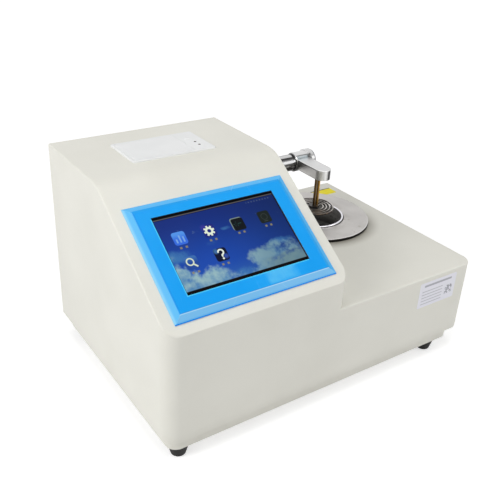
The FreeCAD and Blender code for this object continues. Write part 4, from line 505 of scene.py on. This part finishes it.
def draw_tiles(picture):
    """The rounded tiles behind the icons."""
    in_row = abs(picture.up - ROWS_MIDDLE) - (ICON_UPPER - ICON_LOWER) / 2
    tile = box_distance(picture.in_column, in_row, 0.0, 0.0, TILE_HALF, TILE_HALF, 3.0)
    tile = inside(tile, 0.8)
    upper_row = inside(ROWS_MIDDLE - picture.up, 0.5)
    lower_row = 1.0 - upper_row
    first, second, third, fourth = (
        tile * inside(abs(picture.across - x) - 12.0, 0.5) for x in ICON_COLUMNS)
    upper_light = picture.up.smooth(101.0, 110.0)
    lower_light = picture.up.smooth(71.0, 80.0)
    picture.add(first * upper_row, shade(54, 106, 220))
    picture.add(first * upper_row * upper_light, shade(88, 156, 234), 0.8)
    picture.add(second * upper_row, shade(30, 38, 120), 0.8)
    picture.add(third * upper_row, shade(128, 146, 136))
    picture.add(fourth * upper_row, shade(28, 36, 34))
    picture.add(first * lower_row, shade(34, 72, 148), 0.8)
    picture.add(first * lower_row * lower_light, shade(72, 126, 190), 0.6)
    picture.add(second * lower_row, shade(12, 18, 46))


def draw_bars(picture, x, y):
    for offset, high in ((-4.2, 2.4), (0.0, 4.4), (4.2, 3.3)):
        bar = picture.box(x + offset, y - 5.2 + high, 0.9, high)
        picture.add(inside(bar, 0.8), shade(138, 184, 226), 0.75)


def draw_wheel(picture, x, y):
    """A toothed wheel over a soft light."""
    picture.add(inside(picture.disc(x - 5.0, y + 5.0, 3.4), 3.0), shade(62, 60, 156), 0.7)
    dx, dy = picture.across - x, picture.up - y
    reach = (dx * dx + dy * dy).root()
    teeth = (picture.paint.math("ARCTAN2", dy, dx) * 8.0).sine().smooth(-0.25, 0.25)
    wheel = inside(reach - 4.9).most(inside(reach - 6.6) * teeth) * (1.0 - inside(reach - 2.3))
    picture.add(wheel, shade(226, 236, 214))


def draw_trace(picture, x, y):
    """A line with a pulse in its middle, on a dark tile."""
    picture.add(inside(picture.box(x + 0.9, y - 0.9, 7.8, 7.8, 2.6), 0.8), shade(16, 21, 24))
    pulse = (picture.across * 1.9).sine() * inside(abs(picture.across - x + 1.2) - 2.2, 0.8) * 3.0
    line = inside(abs(picture.up - y - pulse) - 0.3, 0.8) * inside(abs(picture.across - x) - 5.0)
    picture.add(line, shade(44, 94, 88), 0.8)


def draw_dial(picture, x, y):
    """A ring over a short line."""
    picture.add(inside(abs(picture.disc(x, y + 0.4, 3.9)) - 0.3, 0.9), shade(62, 72, 68), 0.7)
    picture.add(inside(picture.box(x, y - 5.4, 2.4, 0.3), 0.9), shade(80, 88, 82), 0.7)


def draw_magnifier(picture, x, y):
    """A glass on a slanting handle."""
    pale = shade(214, 226, 202)
    picture.add(inside(abs(picture.disc(x - 1.3, y + 1.3, 4.0)) - 0.75, 0.5), pale)
    half_root = math.sqrt(0.5)
    dx, dy = (picture.across - x - 3.4) * half_root, (picture.up - y + 3.9) * half_root
    picture.add(inside(box_distance(dx - dy, dx + dy, 0.0, 0.0, 2.7, 0.95), 0.5), pale)


def draw_question(picture, x, y):
    """A question mark over two soft lights."""
    picture.add(inside(picture.disc(x - 4.6, y + 5.0, 2.8), 2.5), shade(70, 122, 182), 0.75)
    picture.add(inside(picture.disc(x + 4.6, y - 3.0, 2.8), 2.5), shade(60, 90, 184), 0.7)
    hook = inside(abs(picture.disc(x + 0.6, y + 2.9, 3.1)) - 0.9)
    upper_right = inside(y + 2.9 - picture.up, 0.5).most(inside(x + 0.8 - picture.across, 0.5))
    stem = inside(picture.box(x + 0.6, y - 1.5, 0.9, 1.5))
    dot = inside(picture.disc(x + 0.6, y - 5.0, 1.2))
    picture.add(most_of(hook * upper_right, stem, dot), shade(232, 240, 226))


def draw_captions(picture):
    """Two short strokes under each icon, and a row of short marks at the upper right."""
    across, up = picture.across, picture.up
    aside = abs(picture.in_column)
    under_upper = box_distance(aside, up, 3.35, ICON_UPPER - CAPTION_DROP, 1.25, 1.15)
    under_lower = box_distance(aside, up, 3.35, ICON_LOWER - CAPTION_DROP, 1.25, 1.15)
    strokes = under_upper.least(under_lower.most(across - LOWER_ROW_END))
    strokes = inside(strokes, 1.0) * inside(abs(across - WINDOW_MIDDLE) - 70.0)
    picture.add(strokes, shade(146, 138, 94), 0.85)
    middle, height, half_length, pitch = 174.6, 126.0, 17.0, 3.9
    run = (across - 156.0).wrap(pitch)
    marks = inside(abs(run - 1.6) - 0.9, 1.2) * inside(abs(up - height) - 0.7, 1.2)
    marks = marks * inside(abs(across - middle) - half_length, 1.0)
    picture.add(marks, shade(84, 100, 128), 0.6)


def draw_strips(picture):
    """Dark strips above and below the picture, the upper one with a grey line."""
    down = WINDOW_HIGH - picture.up
    picture.add(inside(down - 3.9, 0.6), shade(12, 16, 34), 0.85)
    picture.add(inside(abs(down - 2.6) - 0.5, 0.7), shade(100, 96, 92), 0.85)
    picture.add(inside(down - 1.8, 0.5), shade(1))
    picture.add(inside(picture.up - WINDOW_LOW - 3.6, 0.6), shade(6, 2, 2))


def screen_glass():
    """The lit picture under the glass: a sky with clouds, six plain icons and short marks."""
    p = Paint("screen_glass", Specular_IOR_Level=0.03, Emission_Strength=1.0)
    picture = Picture(p)
    draw_sky(picture)
    draw_tiles(picture)
    draw_bars(picture, ICON_COLUMNS[0], ICON_UPPER)
    draw_wheel(picture, ICON_COLUMNS[1], ICON_UPPER)
    draw_trace(picture, ICON_COLUMNS[2], ICON_UPPER)
    draw_dial(picture, ICON_COLUMNS[3], ICON_UPPER)
    draw_magnifier(picture, ICON_COLUMNS[0], ICON_LOWER)
    draw_question(picture, ICON_COLUMNS[1], ICON_LOWER)
    draw_captions(picture)
    draw_strips(picture)
    smudge = p.noise(18, 4.0).smooth(0.4, 0.7)
    color = p.mix(smudge, (0.0015, 0.0015, 0.002), (0.003, 0.003, 0.0035))
    return p.finish(color, 0.16 + smudge * 0.12, Emission_Color=picture.image)


# Plastics and paper

def dark_plastic():
    p = Paint("dark_plastic", Specular_IOR_Level=0.4)
    grain = p.noise(700, 3.0)
    wear = p.noise(70, 5.0, 0.65).smooth(0.45, 0.75)
    color = p.mix(wear * 0.5, (0.014, 0.014, 0.015), (0.035, 0.035, 0.036))
    return p.finish(color, 0.42 + grain * 0.18, (grain, 0.15, 0.0003))


def white_plastic():
    p = Paint("white_plastic", Specular_IOR_Level=0.45, Coat_Roughness=0.25)
    grain = p.noise(800, 2.0)
    cloud = p.noise(22, 3.0)
    color = p.mix(cloud.smooth(0.3, 0.7), (0.83, 0.84, 0.84), (0.87, 0.88, 0.88))
    rough = 0.36 + cloud * 0.12
    return p.finish(color, rough, (grain, 0.06, 0.0002), Coat_Weight=0.08 + cloud * 0.1)


def paper_white():
    """Printer paper wound on its roll."""
    p = Paint("paper_white", Specular_IOR_Level=0.25)
    fibre = p.noise(1500, 4.0, 0.6)
    layers = (p.noise(4, 0.0) * 400.0).sine()
    color = p.mix(fibre * 0.4, (0.86, 0.86, 0.82), (0.74, 0.74, 0.70))
    return p.finish(color, 0.75 + fibre * 0.1, (fibre + layers * 0.2, 0.2, 0.0002))


# Polished steel: painted reflections and shading, in bands that follow the direction that the
# surface faces on the piece, as degrees about the arm's axis (0 forward, 90 up) or about an upright
# one (0 left, 90 forward)

def brushed(p, color, strength=0.10):
    """Fine marks and faint fingerprints over a steel colour: colour, roughness and bump."""
    fine = p.noise(2200, 2.0, stretch=(1.0, 0.15, 0.15))
    smudge = p.noise(45, 5.0, 0.6).smooth(0.40, 0.72)
    color = p.mix(fine.smooth(0.25, 0.75) * strength, color, (0.30, 0.30, 0.31))
    color = p.mix(smudge * strength, color, (0.34, 0.33, 0.32))
    return color, 0.13 + smudge * 0.07 + fine * 0.05, (fine, 0.05, 0.0001)


def sleeve_steel():
    """Polished tube along the arm's axis, with the long bands that a mirror finish shows, painted
    into its colour as reflections.
    """
    p = Paint("sleeve_steel", Metallic=1.0)
    _, ny, nz = p.normal()
    around = p.degrees(nz, -ny) + (p.noise(20, 2.0) - 0.5) * 8.0
    # Painted reflection bands round the sleeve
    color = p.bands(around, (
        (-180, 96), (-12, 100), (-5, 138), (4, 142), (8, 140), (14, 136), (18, 128), (43, 130),
        (47, 62), (61, 54), (65, 200), (84, 212), (91, 160), (180, 150)))
    return p.finish(*brushed(p, color))


def head_steel():
    """Turned head in painted reflection bands: lighter above, a darker painted line along the
    milled flat, the flat in two painted shades, and a painted highlight on the chamfer at the left.
    """
    p = Paint("head_steel", Metallic=1.0)
    nx, ny, nz = p.normal()
    around = p.degrees(nz, -ny)
    # Painted reflection bands round the head
    color = p.bands(around, (
        (-180, 60), (-20, 70), (10, 120), (40, 150), (51, 128), (58, 138), (61, 218), (95, 220),
        (110, 200), (180, 190)))
    across, above = p.y - ARM_Y, p.z - ARM_Z
    # The milled flat in two painted shades, darker low down
    flat = p.mix(above.smooth(8.2, 9.0), shade(112, 120, 123), shade(140, 146, 149))
    color = p.mix(inside(abs(around) - 2.0, 1.0), color, flat)
    radius = (across * across + above * above).root()
    # Painted highlight on the outer chamfer at the left end, painted shade on the rest of that end
    chamfer = radius.smooth(13.0, 13.4) * around.smooth(8.0, 24.0)
    left_end = p.mix(chamfer, shade(92), shade(204))
    color = p.mix(inside(nx + 0.35, 0.1), color, left_end)
    return p.finish(*brushed(p, color, 0.06))


def cap_steel():
    """Domed end cap in painted reflection bands, with a light patch low down and a dark arc above
    it as painted reflections, and its left end face painted light.
    """
    p = Paint("cap_steel", Metallic=1.0)
    nx, ny, nz = p.normal()
    around = p.degrees(nz, -ny)
    # Painted reflection bands round the cap
    color = p.bands(around, (
        (-180, 120), (-30, 140), (0, 140), (12, 130), (38, 138), (47, 190), (53, 206), (100, 214),
        (120, 176), (180, 170)))
    # Painted reflections: a patch low down, and a dark arc above it
    patch = nx.smooth(0.05, 0.4) * (1.0 - around.smooth(34.0, 46.0))
    color = p.mix(patch, color, shade(128, 125, 130))
    arc = nx.smooth(0.02, 0.25) * around.smooth(42.0, 50.0) * (1.0 - around.smooth(72.0, 84.0))
    color = p.mix(arc * 0.95, color, shade(88, 94, 102))
    # The left end face painted light, and made rough
    back_face = inside(nx + 0.4, 0.2)
    color = p.mix(back_face, color, shade(224))
    color, rough, bump = brushed(p, color, 0.06)
    return p.finish(color, rough + back_face * 0.4, bump)


def washer_steel():
    """Thin washer between the sleeve and the head: dark, with one painted reflection band at the
    front, and painted shade on its flat faces.
    """
    p = Paint("washer_steel", Metallic=1.0)
    nx, ny, nz = p.normal()
    # Painted reflection bands round the washer, and painted shade on its flat faces
    color = p.bands(p.degrees(nz, -ny), (
        (-180, 60), (-14, 66), (2, 84), (12, 150), (34, 160), (44, 74), (56, 40), (110, 34),
        (180, 50)))
    color = p.mix(abs(nx).smooth(0.5, 0.9), color, shade(40))
    return p.finish(*brushed(p, color))


def bar_steel():
    """Milled bar in painted light and shade: a lighter top with a painted highlight along its left
    edge, a left side with painted shade towards the head and along its edges, and painted
    reflection bands round its tip.
    """
    p = Paint("bar_steel", Metallic=1.0)
    nx, ny, nz = p.normal()
    height = (p.z - BAR_LOW) / (BAR_HIGH - BAR_LOW)
    # Painted shade on the left side, deepening towards the head, with darker painted lines along
    # its upper and lower edges
    head_shade = ((p.y - BAR_SHADE_Y) / BAR_SHADE_LENGTH).clamp()
    side = p.mix(head_shade * height.smooth(0.12, 0.75), shade(190, 188, 186), shade(150, 149, 148))
    side = p.mix(height.smooth(0.84, 0.92), side, shade(128, 128, 130))
    side = p.mix(1.0 - height.smooth(0.02, 0.10), side, shade(132, 130, 128))
    # Painted reflection bands round the tip
    tip = p.bands(p.degrees(-ny, -nx), (
        (-180, 150), (-10, 170), (2, 172), (5, 160), (20, 172), (28, 206), (36, 212), (43, 232),
        (52, 232), (59, 208), (66, 222), (76, 236), (83, 205), (90, 158), (96, 46), (110, 46),
        (116, 90), (121, 210), (180, 190)))
    color = p.mix(inside(p.y - TIP_Y, 0.8), side, tip)
    # The top painted lighter than the sides, with a painted highlight along its left edge
    top = p.mix(p.noise(500, 3.0, stretch=(0.15, 1.0, 1.0)), shade(205), shade(219))
    top = p.mix(inside(p.x - BAR_LEFT - 1.0, 0.8), top, shade(228))
    color = p.mix(nz.smooth(0.35, 0.6), color, top)
    color, rough, bump = brushed(p, color, 0.06)
    return p.finish(color, rough + 0.20, bump)


# Other steel

def cup_steel():
    """Open cup: bright rim; inside and out painted shade that darkens towards the bottom, with
    oxide spots, and a painted reflection on the upper back wall inside.
    """
    p = Paint("cup_steel", Metallic=1.0)
    _, _, nz = p.normal()
    reach = p.furnace_reach()
    height = p.z - COVER_LOW
    oxide = p.noise(120, 6.0, 0.65).smooth(0.35, 0.7)
    # Painted shade: the wall darkens towards the bottom, inside and out
    wall = p.mix(height.smooth(76.0, 98.0), (0.10, 0.098, 0.096), (0.58, 0.572, 0.556))
    wall = p.mix(oxide * 0.12, wall, (0.10, 0.09, 0.08))
    # Painted reflection, light, on the upper back wall inside
    back = ((p.y - FURNACE_Y) / reach).smooth(0.25, 0.8) * height.smooth(84.0, 100.0)
    wall = p.mix(back * 0.8, wall, (0.90, 0.89, 0.88))
    # The bottom painted dark as shade, with oxide
    bottom = p.mix(oxide, (0.045, 0.044, 0.043), (0.075, 0.072, 0.068))
    color = p.mix(nz.smooth(0.5, 0.8), wall, bottom)
    rim = reach.smooth(CUP_RADIUS - 0.2, CUP_RADIUS + 0.2) * height.smooth(106.0, 106.4)
    color = p.mix(rim, color, shade(230, 228, 234))
    rough = 0.27 + oxide * 0.08 - rim * 0.12
    return p.finish(color, rough, (p.noise(1400, 3.0), 0.08, 0.0001), Metallic=0.35 + rim * 0.65)


def wire_steel():
    """The detector's wires, browned by the flame, with thin painted highlights along their tops,
    fainter at the front left.
    """
    p = Paint("wire_steel", Metallic=1.0)
    _, _, nz = p.normal()
    reach = p.furnace_reach()
    stain = p.noise(150, 5.0, 0.6)
    color = p.mix(stain.smooth(0.35, 0.7), shade(50, 48, 46), shade(88, 76, 64))
    # Painted highlights along the wires' tops, fainter at the front left
    line = nz.smooth(0.74, 0.95) * (0.45 + p.noise(60, 3.0).smooth(0.38, 0.58) * 0.55)
    front_left = ((FURNACE_X - p.x) * 0.8 + (FURNACE_Y - p.y) * 0.6) / reach
    line = line * (1.0 - front_left.smooth(0.1, 0.7) * 0.8)
    color = p.mix(line, color, shade(206, 202, 198))
    color = p.mix(inside(reach - HUB_RADIUS, 0.6), color, shade(84, 82, 82))
    return p.finish(color, 0.28 + stain * 0.2, (stain, 0.1, 0.0001))


def satin_steel():
    """Satin stainless: turned rings on the disc, brown specks of burnt oil, a painted highlight
    along the front edge, painted shade on the edge wall and round the hole.
    """
    p = Paint("satin_steel", Metallic=1.0)
    nx, ny, nz = p.normal()
    reach = p.furnace_reach()
    rings = p.rings(reach * 0.9, 3.2, 4.0, 0.7)
    cloud = p.noise(38, 4.0)
    speck = p.specks(95, 0.05, 0.13) * p.noise(30, 3.0).smooth(0.50, 0.62)
    color = p.mix(cloud.smooth(0.3, 0.7), shade(176, 173, 170), shade(188, 185, 182))
    color = p.mix(rings.smooth(0.35, 0.7) * 0.35, color, shade(200, 198, 196))
    near_cup = (1.0 - reach.smooth(46.0, 62.0)) * p.noise(55, 5.0).smooth(0.35, 0.7)
    color = p.mix(near_cup * 0.30, color, shade(120, 110, 98))
    color = p.mix(speck * 0.7, color, shade(112, 88, 66))
    for x, y, wide in ((385.6, 175.7, 1.7), (390.1, 171.7, 1.4), (389.2, 147.4, 1.6)):
        drop = inside(disc_distance(p.x, p.y, x, y, wide), 3.0)
        color = p.mix(drop * 0.45, color, shade(122, 112, 92))
    # The disc's edge wall in painted shade, darker on the side towards the front
    outer_edge = inside(DISC_RADIUS - 0.6 - reach, 0.4) * inside(nz - 0.5, 0.1)
    front = (-(nx * 0.57) - ny * 0.82).smooth(-0.1, 0.4)
    color = p.mix(outer_edge, color, p.mix(front, shade(140, 138, 140), shade(90, 86, 84)))
    # Painted highlight along the top of the front edge
    ahead = ((FURNACE_Y - p.y) / reach).smooth(0.3, 0.9)
    front_highlight = inside(DISC_RADIUS - 1.2 - reach, 0.3) * nz.smooth(0.5, 0.7) * ahead
    color = p.mix(front_highlight, color, shade(206, 205, 204))
    # Painted shade round the hole, in the gap beside the cup
    color = p.mix(inside(reach - DISC_HOLE_RADIUS - 0.5, 0.4), color, shade(84, 78, 72))
    rough = 0.30 + rings * 0.16 + cloud * 0.06 + speck * 0.3
    return p.finish(color, rough, (rings, 0.10, 0.0002))


def dull_steel():
    """Zinc-coated steel with a faint spangle."""
    p = Paint("dull_steel", Metallic=1.0)
    spangle = p.noise(140, 2.0)
    color = p.mix(spangle.smooth(0.35, 0.65), (0.36, 0.36, 0.37), (0.50, 0.50, 0.50))
    return p.finish(color, 0.34 + spangle * 0.2, (p.noise(900, 3.0), 0.08, 0.0002))


# Brass, bronze and aluminium

def drawn_brass(p, color, stain):
    """Finishes a brass with the fine marks of drawing and a roughness that follows its stains."""
    marks = p.noise(1500, 3.0, stretch=(1.0, 1.0, 0.1))
    return p.finish(color, 0.28 + stain * 0.2, (marks, 0.1, 0.0001))


def aged_brass():
    """Brass fittings, browned a little where they are handled."""
    p = Paint("aged_brass", Metallic=0.9)
    stain = p.noise(160, 5.0, 0.6)
    color = p.mix(stain.smooth(0.35, 0.65), (0.42, 0.25, 0.085), (0.30, 0.17, 0.06))
    return drawn_brass(p, color, stain)


def tube_brass(name, left, middle, right):
    """A brass tube with brown stains, darker low down, with painted shade and a painted highlight
    as its colour in three long bands.
    """
    p = Paint(name, Metallic=0.9)
    nx, ny, _ = p.normal()
    stain = p.noise(160, 5.0, 0.6)
    around = p.degrees(-ny, -nx)
    # Painted shade and highlight in long bands round the tube
    color = p.mix(around.smooth(22.0, 40.0), shade(*left), shade(*middle))
    color = p.mix(around.smooth(72.0, 92.0), color, shade(*right))
    # Darker low down, in the cup
    low_down = 1.0 - p.z.smooth(COVER_LOW + 116.0, COVER_LOW + 128.0)
    brown = (stain.smooth(0.35, 0.65) * 0.30).most(low_down * 0.8)
    return drawn_brass(p, p.mix(brown, color, shade(62, 52, 42)), stain)


def bronze():
    """Sintered bronze with open pores."""
    p = Paint("bronze", Metallic=1.0)
    pores = p.noise(1800, 3.0)
    color = p.mix(pores, (0.44, 0.26, 0.12), (0.32, 0.18, 0.08))
    return p.finish(color, 0.38 + pores * 0.15, (pores, 0.2, 0.0002))


def bare_aluminium():
    p = Paint("bare_aluminium", Metallic=1.0)
    marks = p.noise(900, 2.0, stretch=(0.2, 0.2, 1.0))
    color = p.mix(marks, (0.56, 0.56, 0.57), (0.64, 0.64, 0.645))
    return p.finish(color, 0.32 + marks * 0.15, (marks, 0.1, 0.0002))


# The rest

def mineral_wool():
    p = Paint("mineral_wool", Sheen_Weight=0.3)
    fibre = p.noise(700, 6.0, 0.75)
    color = p.mix(fibre, (0.62, 0.57, 0.48), (0.42, 0.38, 0.31))
    return p.finish(color, 0.92, (fibre, 0.8, 0.001))


def circuit_green():
    p = Paint("circuit_green", Specular_IOR_Level=0.5)
    track = p.noise(260, 1.0).smooth(0.48, 0.52)
    color = p.mix(track, (0.01, 0.10, 0.035), (0.02, 0.16, 0.06))
    return p.finish(color, 0.35 + track * 0.1, (track, 0.1, 0.0002))


def label_white():
    """A blank rating label: a heading bar, plain rules and a plain square."""
    p = Paint("label_white", Specular_IOR_Level=0.3)
    x, z = p.x, p.z - COVER_LOW
    film = p.noise(300, 3.0)
    color = p.mix(film, (0.85, 0.85, 0.92), (0.90, 0.90, 0.97))
    heading = inside(abs(z - 88.5) - 1.5, 0.6) * inside(abs(x - 395.0) - 25.0, 0.6)
    run = (z - 60.0).wrap(4.6)
    rules = inside(abs(run - 2.0) - 0.6, 0.7) * inside(abs(z - 71.0) - 11.0, 0.5)
    rules = rules * inside(abs(x - 386.0) - 19.0, 0.6)
    square = inside(box_distance(x, z, 417.0, 72.0, 6.5, 6.5), 0.6)
    square = square * p.noise(420, 0.0).smooth(0.42, 0.58)
    ink = most_of(heading * 0.55, rules * 0.45, square * 0.7)
    return p.finish(p.mix(ink, color, (0.10, 0.10, 0.14)), 0.38 + film * 0.1)


def sticker_yellow():
    """A plain yellow sticker with a black line along its back edge."""
    p = Paint("sticker_yellow", Specular_IOR_Level=0.2)
    film = p.noise(300, 3.0)
    color = p.mix(film, (1.0, 0.84, 0.008), (1.0, 0.88, 0.014))
    color = p.mix(inside(STICKER_LINE_Y - p.y, 0.5), color, (0.03, 0.03, 0.035))
    return p.finish(color, 0.36 + film * 0.12)


def lamp_dark():
    """An unlit status lamp."""
    p = Paint("lamp_dark", Specular_IOR_Level=0.5, Coat_Weight=0.4, Coat_Roughness=0.05)
    tint = p.noise(500, 2.0)
    color = p.mix(tint, (0.012, 0.008, 0.006), (0.03, 0.012, 0.008))
    return p.finish(color, 0.15 + tint * 0.1)


# A material for each slot of the record, and for the pieces whose shape has a finish of its own
MATERIALS = {make.__name__: make() for make in (
    cream_paint, black_rubber, blue_plastic, screen_glass, dark_plastic, white_plastic,
    paper_white, satin_steel, dull_steel, aged_brass, bronze, bare_aluminium, mineral_wool,
    circuit_green, label_white, sticker_yellow, lamp_dark)}
PIECE_MATERIALS = {
    "arm_sleeve": sleeve_steel(),
    "arm_washer": washer_steel(),
    "arm_head": head_steel(),
    "arm_cap": cap_steel(),
    "arm_bar": bar_steel(),
    "test_cup": cup_steel(),
    "ring_detector": wire_steel(),
    # The pilot tube in darker tones, as painted shadow; the gas tube's right band is a painted
    # highlight
    "pilot_tube": tube_brass("pilot_brass", (72, 50, 22), (112, 88, 50), (134, 122, 108)),
    "gas_tube": tube_brass("gas_brass", (120, 88, 40), (158, 118, 50), (204, 166, 96)),
}
for part in frame["record"]["subparts"]:
    material = PIECE_MATERIALS.get(part["node"]) or MATERIALS[part["material_slot"]]
    for holder in frame["nodes"][part["node"]].material_slots:
        holder.material = material


# Floor, light and background

def floor_white():
    """A pale floor that keeps the shadow near the tester and shows white farther out."""
    material = bpy.data.materials.new("floor_white")
    material.use_nodes = True
    shader = material.node_tree.nodes["Principled BSDF"]
    shader.inputs["Base Color"].default_value = (0.80, 0.80, 0.80, 1)
    shader.inputs["Roughness"].default_value = 0.9
    shader.inputs["Specular IOR Level"].default_value = 0.1
    shader.inputs["Emission Strength"].default_value = 0.85
    nodes = Nodes(material.node_tree)
    place = nodes.node("ShaderNodeTexCoord", {})
    away = nodes.node("ShaderNodeVectorMath", {0: place.outputs["Object"]}, operation="LENGTH")
    rise = nodes.node("ShaderNodeMapRange", {
        "Value": away.outputs["Value"], "From Min": 0.7, "From Max": 2.2, "To Min": 0.64})
    glow = nodes.in_sight() * Value(nodes, rise.outputs["Result"])
    nodes.feed(shader.inputs["Emission Color"], glow)
    return material


bpy.ops.mesh.primitive_plane_add(size=14, location=(0, 0, 0))
floor = bpy.context.object
floor.name = "floor"
floor.data.materials.append(floor_white())

world = bpy.data.worlds.new("studio")
bpy.context.scene.world = world
world.use_nodes = True
background = world.node_tree.nodes["Background"]
background.inputs["Color"].default_value = (1, 1, 1, 1)
world_nodes = Nodes(world.node_tree)
strength = world_nodes.in_sight() * (1 - LIGHT_LEVEL) + LIGHT_LEVEL
world_nodes.feed(background.inputs["Strength"], strength)


def lamp(name, place, size, power):
    """A soft panel of light that faces the tester: place and size in metres, power in watts."""
    data = bpy.data.lights.new(name, "AREA")
    data.shape = "RECTANGLE"
    data.size, data.size_y = size
    data.energy = power
    item = bpy.data.objects.new(name, data)
    item.location = place
    item.rotation_euler = (LAMP_AIM - Vector(place)).to_track_quat("-Z", "Y").to_euler()
    bpy.context.scene.collection.objects.link(item)


lamp("left", (-2.1, -0.15, 1.3), (1.4, 1.2), 29.5)
lamp("front", (0.3, -2.1, 1.3), (1.2, 1.2), 7.7)
lamp("right", (1.7, -1.6, 1.2), (1.2, 1.2), 12.8)
lamp("top", (0.0, 0.0, 2.3), (1.3, 1.3), 14.5)

bpy.context.scene.view_settings.view_transform = "Standard"
